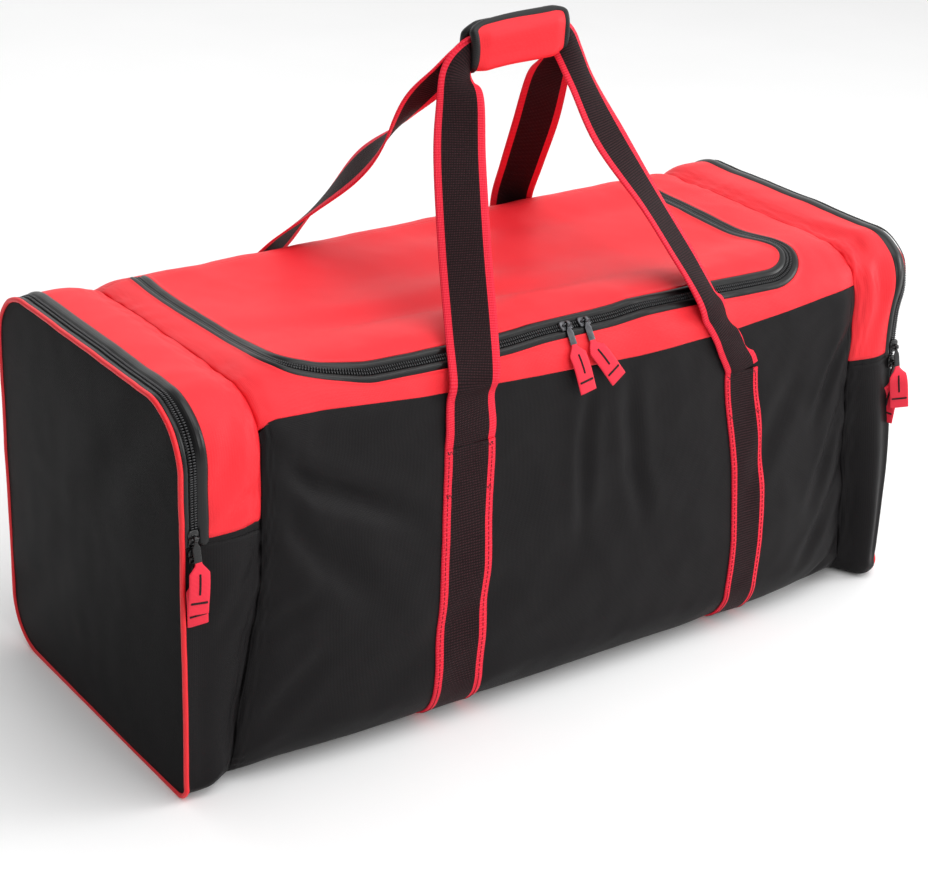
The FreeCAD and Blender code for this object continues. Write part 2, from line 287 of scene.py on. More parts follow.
# Folds: where each starts and ends as (x, p), its width and its depth.
FOLDS = (
    # across the lid
    ((-300, 690), (120, 640), 22, 3.6),
    ((-160, 770), (240, 700), 30, 3.2),
    ((-60, 840), (330, 800), 24, 2.6),
    # across the front
    ((-372, 485), (-195, 395), 13, 6.0),
    ((-375, 440), (-240, 330), 17, 5.0),
    ((392, 475), (325, 375), 9, 4.0),
    ((394, 400), (318, 290), 9, 4.5),
    ((394, 325), (310, 225), 9, 4.5),
    ((394, 250), (335, 175), 8, 3.5),
    ((300, 440), (215, 320), 14, 2.6),
    ((-250, 250), (-60, 330), 20, 2.6),
    ((-60, 300), (130, 420), 24, 2.6),
    ((-380, 240), (-300, 300), 12, 3.0),
    ((-385, 330), (-310, 350), 10, 2.4),
    ((60, 485), (75, 330), 11, 3.6),
    ((10, 485), (-5, 330), 9, 3.2),
    # short, dragged down from the end seams
    ((405, 640), (428, 470), 8, 3.0),
    ((430, 560), (412, 430), 7, 2.4),
    ((400, 520), (422, 590), 6, 2.2),
    ((-412, 560), (-428, 470), 8, 2.4),
    ((-400, 400), (-430, 330), 7, 2.6),
    ((-402, 470), (-432, 430), 7, 2.2),
)


def swell(x, p):
    """How far the fabric stands out of its plain cross-section, in mm: the stuffing's bulge, the valleys
    at the end seams, the sag of the top, and folds and wrinkles."""
    a = np.abs(x)
    rear = LOOP - p
    inner = 1 - np.minimum(a / SEAM_X, 1) ** 5
    side = smooth(90, 230, p) * smooth(KNOTS[3] + 40, KNOTS[3] - 60, p)
    rear_side = smooth(120, 240, rear) * smooth(KNOTS[3] + 40, KNOTS[3] - 60, rear)
    crown = smooth(545, 680, p) * smooth(LOOP - 545, LOOP - 680, p)
    walls = smooth(KNOTS[1], KNOTS[2], p) * smooth(KNOTS[1], KNOTS[2], rear)
    out = inner * (8 * bell(p, 330, 110) * side + 12 * bell(rear, 310, 115) * rear_side)
    # valleys at the end seams, and the swollen pocket beyond each
    out -= walls * (3.5 * bell(a, SEAM_X, 3.0) + 4.5 * bell(a, SEAM_X, 16)) * (1 - 0.4 * crown)
    out += walls * 3.0 * np.clip(1 - ((a - 424) / 24) ** 2, 0, 1) * smooth(400, 412, a)
    # the right end is drawn in at its piping
    out -= walls * 18 * smooth(441, 455, x)
    # the straps pull the panels in a little
    for leg in LEG_X:
        out -= 2.5 * bell(x, leg, 34) * (side + rear_side)
    # the top sags between the ends, and the lid stands up behind its zip
    out -= crown * inner * (13 * bell(x, 150, 170) + 9 * bell(x, -170, 130) + 3)
    out += inner * 6.0 * bell(p, 612, 34)
    out += 7.0 * bell(x, 424, 24) * smooth(120, 200, p) * smooth(460, 380, p)
    for start, end, width, depth in FOLDS:
        out += crease(x, p, start, end, width, depth)
    # wrinkles at random, deeper low down beside the seams, and puckers gathered by the seam itself
    near_seam = bell(a, SEAM_X + 6, 38)
    out += walls * (1.9 + 0.8 * near_seam) * ripples(x, p, 120, 4) * (1 - 0.4 * crown)
    out += walls * (0.6 + 0.3 * near_seam) * ripples(x, p, 47, 9) * (1 - 0.5 * crown)
    gathers = np.sin(p / 5.3 + 3.0 * np.sin(p / 31.0) + x / 25) * smooth(-0.5, 0.8, np.sin(p / 47.0 + x))
    out += walls * (1.2 - 0.5 * crown) * gathers * bell(a, SEAM_X, 15)
    # nothing moves where the sliders sit
    slider_spots = bell(x, 3, 34) * bell(p, ZIP_P_SLIDERS, 26)
    still_p, free_p = (up_front(FOLD_Z + rise, END_BACK_FOOT) for rise in (SLIDER_TRAVEL, SLIDER_TRAVEL + 45))
    slid = smooth(210, 240, p) * smooth(free_p, still_p, p)
    slider_spots = slider_spots + bell(a, END_ZIP_X - 2, 10) * slid
    return out * (1 - np.clip(slider_spots, 0, 1))


def up_front(z, foot):
    """Running length at which the front reaches a height: an arc up to the foot radius, then the straight
    side, then the shoulder arc."""
    low = BASE_Z + foot
    high = TOP_Z - TOP_RADIUS
    if z < low:
        return KNOTS[1] + math.acos(1 - (z - BASE_Z) / foot) / (math.pi / 2) * foot_run
    if z < high:
        return KNOTS[2] + (z - low) / (high - low) * side_run
    return KNOTS[3] + math.asin((z - high) / TOP_RADIUS) * TOP_RADIUS


def on_top(y):
    """Running length at a depth y on the shoulder arcs or the flat top."""
    flat = HALF_DEPTH - TOP_RADIUS
    if y < -flat:
        return KNOTS[4] - math.asin((-flat - y) / TOP_RADIUS) * TOP_RADIUS
    if y > flat:
        return KNOTS[5] + math.asin((y - flat) / TOP_RADIUS) * TOP_RADIUS
    return KNOTS[4] + y + flat


def seam_shift(x, p):
    """How far the fabric is dragged along x: the end seams lean towards the middle in their upper part,
    and the right end's zip stands out past its panel there."""
    height = smooth(200, 400, p) * smooth(200, 400, LOOP - p)
    window = smooth(300, SEAM_X, np.abs(x)) * smooth(452, SEAM_X, np.abs(x))
    zip_out = 18 * smooth(422, 450, x) * smooth(470, 550, p) * smooth(470, 550, LOOP - p)
    lean = np.where(x < 0, 28 * height - 6 * (1 - height), -12 * height + 6 * (1 - height))
    return lean * window + zip_out


def skin(x, p, proud=0.0):
    """Points on the bag's outer skin, in mm. x runs along the bag and p round it: from the middle of the
    underside forwards, up the front, over the top and down the back. The cross-section is a skeleton
    point plus the corner radius times a direction that turns with p; swell() and proud push it further
    along that direction. Low on the front, the belly moves it all forwards."""
    x, p = np.broadcast_arrays(np.asarray(x, float), np.asarray(p, float) % LOOP)
    front_foot, back_foot = foot_radii(x)
    at_front = np.interp(p, KNOTS, [1, 1, 1, 0, 0, 0, 0, 0, 0, 0])
    at_back = np.interp(p, KNOTS, [0, 0, 0, 0, 0, 0, 0, 1, 1, 1])
    radius = TOP_RADIUS + (front_foot - TOP_RADIUS) * at_front + (back_foot - TOP_RADIUS) * at_back
    forward = np.interp(p, KNOTS, [0, 1, 1, 1, 1, -1, -1, -1, -1, 0])
    raised = np.interp(p, KNOTS, [0, 0, 0, 1, 1, 1, 1, 0, 0, 0])
    turn = np.interp(p, KNOTS, np.radians([0, 0, 90, 90, 180, 180, 270, 270, 360, 360]))
    reach = radius + swell(x, p) + proud
    belly = BELLY * (1 + x / 1600) * (1 - np.minimum(np.abs(x) / SEAM_X, 1) ** 6) * smooth(60, 150, p)
    belly = belly * smooth(440, 260, p) + 13 * smooth(398, 424, x) * smooth(80, 150, p) * smooth(430, 300, p)
    y = -(HALF_DEPTH - radius) * forward - reach * np.sin(turn) - belly
    z = BASE_Z + radius + raised * (TOP_Z - BASE_Z - 2 * radius) - reach * np.cos(turn)
    return np.stack([x + seam_shift(x, p), y, z], axis=-1)


def cloth_uv(across, lengthwise):
    """UV in metres from two arrays in mm that broadcast to one grid."""
    return np.stack(np.broadcast_arrays(across, lengthwise), axis=-1) * MM


def patch(points, uv=None, closed=(False, False), flip=False, slot=0):
    """One grid of points as (vertices, quads, a UV for each quad corner, material index). closed joins
    the last row or column to the first. Faces look along rows x columns, or the other way if flipped."""
    rows, columns = points.shape[:2]
    if uv is None:
        uv = cloth_uv(np.arange(rows + 1)[:, None], np.arange(columns + 1))
    index = np.arange(rows * columns).reshape(rows, columns)
    if closed[0]:
        index = np.vstack([index, index[:1]])
    if closed[1]:
        index = np.hstack([index, index[:, :1]])
    if uv.shape[0] < index.shape[0]:
        uv = np.concatenate([uv, 2 * uv[-1:] - uv[-2:-1]], axis=0)
    if uv.shape[1] < index.shape[1]:
        uv = np.concatenate([uv, 2 * uv[:, -1:] - uv[:, -2:-1]], axis=1)
    uv = uv[:index.shape[0], :index.shape[1]]

    def corners(grid):
        order = [grid[:-1, :-1], grid[1:, :-1], grid[1:, 1:], grid[:-1, 1:]]
        if flip:
            order.reverse()
        return np.stack(order, axis=2)

    quads = corners(index).reshape(-1, 4)
    return points.reshape(-1, 3), quads, corners(uv).reshape(-1, 2), np.full(len(quads), slot)


def piece(name, patches, materials, thickness=0.0, weld=0.0, lining=False):
    """Object from patches, at the origin and smooth shaded. thickness (mm) thickens it inwards; weld (mm)
    first joins patches that share an edge; with lining, the inner side takes the second material."""
    counts = np.cumsum([0] + [len(vertices) for vertices, _, _, _ in patches])
    vertices = np.concatenate([part[0] for part in patches]) * MM
    quads = np.concatenate([part[1] + start for part, start in zip(patches, counts)])
    mesh = bpy.data.meshes.new(name)
    mesh.vertices.add(len(vertices))
    mesh.vertices.foreach_set("co", vertices.ravel())
    mesh.loops.add(quads.size)
    mesh.loops.foreach_set("vertex_index", quads.ravel())
    mesh.polygons.add(len(quads))
    mesh.polygons.foreach_set("loop_start", np.arange(0, quads.size, 4))
    layer = mesh.uv_layers.new(name="cloth")
    layer.uv.foreach_set("vector", np.concatenate([part[2] for part in patches]).ravel())
    for material in materials:
        mesh.materials.append(material)
    mesh.polygons.foreach_set("material_index", np.concatenate([part[3] for part in patches]))
    mesh.update(calc_edges=True)
    mesh.validate()
    mesh.polygons.foreach_set("use_smooth", np.ones(len(mesh.polygons), bool))
    made = bpy.data.objects.new(name, mesh)
    scene.collection.objects.link(made)
    if weld:
        work = bmesh.new()
        work.from_mesh(mesh)
        bmesh.ops.remove_doubles(work, verts=work.verts, dist=weld * MM)
        work.to_mesh(mesh)
        work.free()
    if thickness:
        solid = made.modifiers.new("thickness", "SOLIDIFY")
        solid.thickness = thickness * MM
        solid.offset = -1.0
        solid.use_even_offset = False
        solid.material_offset = 1 if lining else 0
    return made


def stations(start, end, step, edge=14.0, edge_step=1.6):
    """Values from start to end about a step apart, with finer ones close to both ends."""
    if end - start < 3 * edge:
        return np.linspace(start, end, max(2, int(round((end - start) / edge_step)) + 1))
    fine = max(2, int(round(edge / edge_step)))
    first = np.linspace(start, start + edge, fine, endpoint=False)
    middle = np.linspace(start + edge, end - edge, int(round((end - start - 2 * edge) / step)) + 1)
    last = np.linspace(end - edge, end, fine + 1)[1:]
    return np.concatenate([first, middle, last])


def skin_patch(xs, ps, proud=0.0, slot=0):
    """Grid of skin points for one piece of fabric, its UV in metres along the cloth."""
    x, p = np.meshgrid(xs, ps, indexing="ij")
    return patch(skin(x, p, proud), cloth_uv(x, p), slot=slot)


def ribs(tree, vector, pitch, direction, **more):
    """Output of sine ridges that far apart (m): the Wave texture repeats every 2 pi / (20 * Scale)."""
    inputs = {"Vector": vector, "Scale": WAVE_PERIOD / pitch, **more}
    return add(tree, "ShaderNodeTexWave", inputs, bands_direction=direction).outputs["Fac"]


def cloth_noise(tree, cloth, scale):
    """Output of a fine noise in the cloth's own UV."""
    inputs = {"Vector": cloth, "Scale": scale, "Detail": 2.0}
    return add(tree, "ShaderNodeTexNoise", inputs).outputs["Fac"]


def reckon(tree, operation, *values):
    """Output of a Math node on links or numbers, taken in order."""
    return add(tree, "ShaderNodeMath", dict(enumerate(values)), operation=operation).outputs[0]


# Polyester canvas, plain weave, coated on the back: dyed yarn 0.5 mm thick, with a dull even sheen.
# The weave is drawn three times as coarse, so that it shows at all.
WAVE_PERIOD = 0.314
THREAD = 0.0016


def canvas(name, deep, light, roughness, gloss, relief):
    """Woven canvas: the two yarn directions are sine ridges in the piece's own UV, multiplied, and noise
    varies the colour softly from place to place."""
    made, tree, shader = surface(name, Roughness=roughness, IOR=1.5, Specular_IOR_Level=gloss)
    cloth = add(tree, "ShaderNodeUVMap", uv_map="cloth").outputs["UV"]
    uneven = {"Distortion": 0.4, "Detail Scale": 2.0}
    warp, weft = (ribs(tree, cloth, THREAD, direction, **uneven) for direction in "XY")
    weave = reckon(tree, "MULTIPLY", warp, weft)
    cloud = own_noise(tree, 9.0, 5.0, Roughness=0.6)
    fleck = cloth_noise(tree, cloth, 900.0)
    shade = reckon(tree, "MULTIPLY_ADD", fleck, 0.35, reckon(tree, "MULTIPLY_ADD", cloud, 0.55, 0.1))
    paint(tree, shader, shade, deep, light)
    emboss(tree, shader, weave, relief, 0.0003)
    return made


black_canvas = canvas("black_polyester_canvas", "#0F0E0F", "#1D1B1C", 0.5, 0.1, 0.5)
red_canvas = canvas("red_polyester_canvas", "#E21C26", "#F2303A", 0.5, 0.25, 0.4)
lining = canvas("black_coated_lining", "#0C0C0D", "#151516", 0.42, 0.15, 0.2)


def front_line_p(x):
    """Where black meets red on the front: highest at the left end, where the panel's corner is rounded
    off, lowest right of the middle."""
    z = np.interp(x, (-396, -391, -385, -376, -300, -190, -60, 70, 180, 260, 330, 396),
                  (366, 371, 374, 375, 373, 363, 356, 350, 351, 356, 362, 366))
    low, high = BASE_Z + MAIN_ROUND, TOP_Z - TOP_RADIUS
    over = np.arcsin(np.clip((z - high) / TOP_RADIUS, 0, 1)) * TOP_RADIUS
    return KNOTS[2] + np.minimum((z - low) / (high - low), 1) * side_run + over


front_colour_p = up_front(COLOUR_LINE_Z, MAIN_ROUND)
front_bottom_p = up_front(BOTTOM_SEAM_Z, MAIN_ROUND)
main_x = stations(-SEAM_X, SEAM_X, 4.2)
wall_p = stations(front_bottom_p, front_colour_p, 4.0)

share = ((wall_p - front_bottom_p) / (front_colour_p - front_bottom_p))[None, :]
x = np.repeat(main_x[:, None], share.shape[1], axis=1)
p = front_bottom_p + (front_line_p(main_x)[:, None] - front_bottom_p) * share
front = piece("front_panel_canvas", [patch(skin(x, p), cloth_uv(x, p))], [black_canvas, lining], CANVAS,
              lining=True)
back = piece("back_panel_canvas", [skin_patch(main_x, LOOP - wall_p[::-1])], [black_canvas, lining], CANVAS,
             lining=True)
under_p = np.linspace(-front_bottom_p, front_bottom_p, 60)
under = piece("bottom_panel_canvas", [skin_patch(main_x, under_p)], [black_canvas, lining], CANVAS,
              lining=True)
for made, node in ((front, "front_panel"), (back, "back_panel"), (under, "bottom_panel")):
    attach(made, "root")
    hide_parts(node)


# ---- Lid and top frame ---------------------------------------------------------------------
# The top is red canvas. A U-shaped cut, bound by the zip, makes the lid; the frame runs round it
# down to the black panels. Both are turned under at the zip, so their edges stand up a little.

LID_CENTRE_X = -7.0
LID_HALF_WIDTH = 325.0
LID_CORNER = 52.0
LID_FOLD_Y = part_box("lid_panel")[1].y / MM
LIP = 1.3

# Half width of the lid's zip over its lips, and how much of it counts on the left and on the right arm.
TAPE_EDGE = 12.0
ARM_WIDENING = (1.3, 0.85)
lid_fold_p = on_top(LID_FOLD_Y)
LID_ARM = lid_fold_p - ZIP_P_SLIDERS - LID_CORNER
LID_RUN = 2 * (LID_HALF_WIDTH - LID_CORNER)
LID_LENGTHS = np.cumsum([0, LID_ARM, LID_CORNER * math.pi / 2, LID_RUN, LID_CORNER * math.pi / 2, LID_ARM])


def lid_line(s, offset):
    """The U of the lid's zip as (x, p) at a length s along it, grown outwards by the offset: forward
    along the left arm, round a corner, along the front, round the other corner and back along the right
    arm. The left arm's tapes lie flat and the right arm's curl up, so offsets count for more or less
    there."""
    turn = np.interp(s, LID_LENGTHS, np.radians([0, 0, 90, 90, 180, 180]))
    across = np.interp(s, LID_LENGTHS, [-1, -1, -1, 1, 1, 1])
    back = np.interp(s, LID_LENGTHS, [1, 0, 0, 0, 0, 1])
    wider = np.where(turn < math.pi / 2, ARM_WIDENING[0], ARM_WIDENING[1]) * offset
    x = LID_CENTRE_X + across * (LID_HALF_WIDTH - LID_CORNER) - (LID_CORNER + wider) * np.cos(turn)
    p = ZIP_P_SLIDERS + LID_CORNER + back * LID_ARM - (LID_CORNER + offset) * np.sin(turn)
    return x, p


def along_lid(step):
    """Stations about a step apart along the lid's zip."""
    return np.linspace(0, LID_LENGTHS[-1], int(LID_LENGTHS[-1] / step) + 1)


def lid_wander(x, p):
    """The zip doesn't lie quite straight: near the left corner it is drawn back, and it waves a little."""
    ahead = smooth(760, 560, p)
    back = 17 * smooth(-235, -312, x) * ahead + 2.5 * np.sin(x / 62) * ahead * smooth(30, 90, np.abs(x - 3))
    aside = 3.5 * np.sin(p / 46) * smooth(570, 640, p) * (1 - 2 * smooth(-200, 200, x))
    return x + aside, p + back


def turned_edge(distance):
    """Height of a turned-under edge at a distance from it: a low round lip."""
    return LIP * np.exp(-((distance / 4.0) ** 2)) - 0.5 * np.exp(-((distance / 1.0) ** 2))


edge_x, edge_p = lid_line(along_lid(2.0), -TAPE_EDGE)
keep = (edge_x > edge_x.min() + 1e-6) & (edge_x < edge_x.max() - 1e-6)
column_x = np.concatenate([[edge_x.min()], edge_x[keep], [edge_x.max()]])
column_p = np.concatenate([[edge_p[keep][0] + 1], edge_p[keep], [edge_p[keep][-1] + 1]])
share = stations(0, 300, 4.0)[None, :] / 300
x = np.repeat(column_x[:, None], share.shape[1], axis=1)
p = column_p[:, None] + (lid_fold_p - column_p[:, None]) * share
rim = np.minimum(p - column_p[:, None], np.minimum(x - edge_x.min(), edge_x.max() - x))
lid_grid = skin(*lid_wander(x, p), turned_edge(rim))
lid = piece("lid_canvas", [patch(lid_grid, cloth_uv(x, p))], [red_canvas, lining], CANVAS, lining=True)
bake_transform(lid)
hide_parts("lid_panel")

# The frame's first patch is a ring from the zip's outer edge to the seams and the colour line; the second is
# the band behind the fold.
ring_x, ring_p = lid_line(along_lid(3.0), TAPE_EDGE)
corner_left, corner_right = (LID_CENTRE_X + sign * (LID_HALF_WIDTH - LID_CORNER) for sign in (-1, 1))
corner_p = ZIP_P_SLIDERS + LID_CORNER
from_x = ring_x - np.clip(ring_x, corner_left, corner_right)
from_p = np.minimum(ring_p - corner_p, 0)
reach_x = np.where(ring_x < 0, -SEAM_X - corner_left, SEAM_X - corner_right)
reach_p = front_colour_p - corner_p
scale_x = np.abs(reach_x) / np.maximum(np.abs(from_x), 1e-6)
scale_p = abs(reach_p) / np.maximum(np.abs(from_p), 1e-6)
grow = np.minimum(scale_x, scale_p)
outer_x = np.clip(ring_x, corner_left, corner_right) + from_x * grow
outer_p = np.maximum(ring_p, corner_p) + from_p * grow
share = np.linspace(0, 1, 26)[None, :] ** 1.3
x = ring_x[:, None] + (outer_x - ring_x)[:, None] * share
p = ring_p[:, None] + (outer_p - ring_p)[:, None] * share
rim = np.hypot(x - ring_x[:, None], p - ring_p[:, None])
ring_front_p = ZIP_P_SLIDERS - TAPE_EDGE
towards_line = np.clip((ring_front_p - p) / (ring_front_p - front_colour_p), 0, 1)
p = p + (front_line_p(x) - front_colour_p) * towards_line
uv = cloth_uv(x, p)
moved_x, moved_p = lid_wander(x, p)
moved_x = x + (moved_x - x) * (1 - share)
moved_p = p + (moved_p - p) * (1 - share)
ring = patch(skin(moved_x, moved_p, turned_edge(rim)), uv, flip=True)
back_x = np.concatenate([moved_x[0, ::-1], stations(moved_x[0, 0], moved_x[-1, 0], 4.2)[1:-1], moved_x[-1]])
behind = skin_patch(back_x, stations(lid_fold_p, LOOP - front_colour_p, 4.0))
top = piece("top_frame_canvas", [ring, behind], [red_canvas, lining], CANVAS, lining=True)
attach(top, "root")
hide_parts("top_frame")


# ---- Lid zip -------------------------------------------------------------------------------
# A coil zip: two polyester tapes, each folded so that it shows as a round black lip, and between
# them the two halves of a nylon coil. One side is sewn to the lid, the other to the frame.

COIL_PITCH = 2.6
TAPE = 0.9


def unit(v):
    """Vectors scaled to length 1."""
    return v / np.maximum(np.linalg.norm(v, axis=-1, keepdims=True), 1e-12)


def skin_track(x, p, proud=0.0):
    """Stations of a path on the skin: points, directions along the path, to its left, and out of the skin."""
    points = skin(x, p, proud)
    lengthwise = skin(x + 0.5, p) - skin(x - 0.5, p)
    round_bag = skin(x, p + 0.5) - skin(x, p - 0.5)
    out = unit(np.cross(lengthwise, round_bag))
    along = unit(np.gradient(points, axis=0))
    return points, along, unit(np.cross(out, along)), out


def bar(length, width, height, arch=0.0):
    """Small rounded bar along its first axis as (vertices, quads): four six-sided rings, the end ones shrunk.
    It arches by arch times the square of the distance from its middle."""
    turns = np.arange(6) * math.pi / 3
    rings = []
    for place, shrink in ((-0.5, 0.5), (-0.34, 1.0), (0.34, 1.0), (0.5, 0.5)):
        along = np.full(6, place * length)
        rings.append(np.stack([along, np.cos(turns) * width / 2 * shrink,
                               np.sin(turns) * height / 2 * shrink - arch * along**2], axis=-1))
    quads = []
    for ring in range(3):
        for k in range(6):
            here, there = ring * 6 + k, ring * 6 + (k + 1) % 6
            quads.append((here, here + 6, there + 6, there))
    for first, order in ((0, (0, 1, 2, 3, 0, 3, 4, 5)), (18, (3, 2, 1, 0, 5, 4, 3, 0))):
        quads += [tuple(first + k for k in order[:4]), tuple(first + k for k in order[4:])]
    return np.concatenate(rings), np.array(quads)[:, ::-1]


def repeated(shape, points, first, second, third, slot=0):
    """A small shape set down at every point, its axes along three given directions. Returns one patch."""
    vertices, quads = shape
    placed = points[:, None] + sum(vertices[None, :, k:k + 1] * axis[:, None] for k, axis in
                                   enumerate((first, second, third)))
    faces = (quads[None] + np.arange(len(points))[:, None, None] * len(vertices)).reshape(-1, 4)
    uv = np.tile([[0, 0], [0.5, 0], [0.5, 0.5], [0, 0.5]], (len(faces), 1)) * MM
    return placed.reshape(-1, 3), faces, uv, np.full(len(faces), slot)


def lip(distance, widest=13.6):
    """Height of a zip tape at a distance from the middle of the zip: a round fold, low beside the coil."""
    return 3.4 * np.sin(np.clip((distance - 2.4) / (widest - 2.4), 0, 1) * math.pi) ** 0.7 - 1.3


TOOTH = bar(3.2, 1.7, 1.5, 0.10)


def coil_row(points, along, aside, out, side):
    """One half of the coil: a tooth at every station, reaching across to that side."""
    return repeated(TOOTH, points + aside * side * 1.9 + out * 0.7, aside, -along, out)


# Zip tape: woven polyester with a fine lengthwise rib, 0.4 mm apart in reality and drawn 1.2 mm apart.
zip_cloth, tree, shader = surface("woven_zip_tape", Roughness=0.3, IOR=1.5, Specular_IOR_Level=0.35)
cloth = add(tree, "ShaderNodeUVMap", uv_map="cloth").outputs["UV"]
paint(tree, shader, cloth_noise(tree, cloth, 700.0), "#040405", "#0A0A0B")
emboss(tree, shader, ribs(tree, cloth, 0.0012, "Y"), 0.3, 0.0002)

# Coil: extruded nylon thread, smooth, so it catches small highlights.
nylon, tree, shader = surface("nylon_coil", Roughness=0.28, IOR=1.53)
paint(tree, shader, own_noise(tree, 60.0, 3.0), "#131315", "#2A2A2D")

for side, body, tape_node, coil_node in ((1, "root", "opening_zip_tape", "opening_zip_coil"),
                                         (-1, "lid", "lid_zip_tape", "lid_zip_coil")):
    s = along_lid(3.0)[:, None]
    offset = np.linspace(0.7, TAPE_EDGE + 2.5, 14)[None, :]
    x, p = lid_line(s, side * offset)
    folded = patch(skin(*lid_wander(x, p), lip(offset)), cloth_uv(s, offset), flip=side > 0)
    tape = piece(tape_node + "_cloth", [folded], [zip_cloth], TAPE)
    x, p = lid_wander(*lid_line(along_lid(COIL_PITCH), 0.0))
    coil = piece(coil_node + "_nylon", [coil_row(*skin_track(x, p), -side)], [nylon])
    for made, node, slot in ((tape, tape_node, "zip_tape"), (coil, coil_node, "zip_coil")):
        if body == "lid":
            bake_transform(made)
        else:
            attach(made, "root")
        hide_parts(node)


# ---- End pockets ---------------------------------------------------------------------------
# Each end has a narrow pocket: a gusset, black below and red above, and a stiff black end panel
# with a corded red piping sewn round it. A zip runs beside the piping, from low at the front over
# the top to low at the back, so that the upper part of the end folds down.

GUSSET_COLOUR_Z = 262.0
PIPING_RADIUS = 2.6
PIPING_STATIONS = 520
PIPING_SIDES = 10
END_TAPE_EDGE = 8.5


def iso_height(x, z, rear=False):
    """Running length of a height on the straight front or rear side, for an array of x."""
    foot = foot_radii(x)[1 if rear else 0]
    p = KNOTS[2] + (z - BASE_Z - foot) / (TOP_Z - TOP_RADIUS - BASE_Z - foot) * side_run
    return LOOP - p if rear else p


def between(xs, low_p, high_p, share, proud=0.0):
    """Grid of skin points whose columns run from one running length to another, both given for each x."""
    x = np.repeat(xs[:, None], len(share), axis=1)
    p = low_p[:, None] + (high_p - low_p)[:, None] * share[None, :]
    return patch(skin(x, p, proud), cloth_uv(x, p))


def end_cap(x, u, v):
    """Sheet that closes the cross-section at x: a Coons patch between the front and rear edges (along v)
    and the bottom and top edges (along u), on the skin's own outline there."""
    u, v = u[:, None, None], v[None, :, None]
    span = KNOTS[4] - KNOTS[1]
    front = skin(x, KNOTS[1] + v[..., 0] * span)
    rear = skin(x, LOOP - KNOTS[1] - v[..., 0] * span)
    bottom = skin(x, KNOTS[1] * (1 - 2 * u[..., 0]))
    top = skin(x, KNOTS[4] + (KNOTS[5] - KNOTS[4]) * u[..., 0])
    corners = ((1 - u) * (1 - v) * front[:, :1] + u * (1 - v) * rear[:, :1] + (1 - u) * v * front[:, -1:]
               + u * v * rear[:, -1:])
    return (1 - u) * front + u * rear + (1 - v) * bottom + v * top - corners


def beside_loop(points, out):
    """Directions to the left of a closed path, square to it and to the outward directions."""
    along = unit(np.roll(points, -1, axis=0) - np.roll(points, 1, axis=0))
    return unit(np.cross(out, along))


def cord_tube(points, aside, out, radius_aside, radius_out, sides):
    """Tube round a path, its section an ellipse with those two radii. Rows follow the path."""
    turns = np.arange(sides) * 2 * math.pi / sides
    return (points[:, None] + aside[:, None] * (np.cos(turns) * radius_aside)[None, :, None]
            + out[:, None] * (np.sin(turns) * radius_out)[None, :, None])


# The end panels' canvas: the same black cloth drawn darker and less glossy, as painted shade for the ends,
# which the light reaches less.
end_canvas_painted_shade = canvas("black_canvas_painted_shade", "#080708", "#141314", 0.5, 0.04, 0.5)
# Piping: red woven bias tape over a plastic cord, a little glossy from its tight weave.
red_piping = canvas("red_piping_tape", "#DC1822", "#EE2A34", 0.42, 0.3, 0.15)

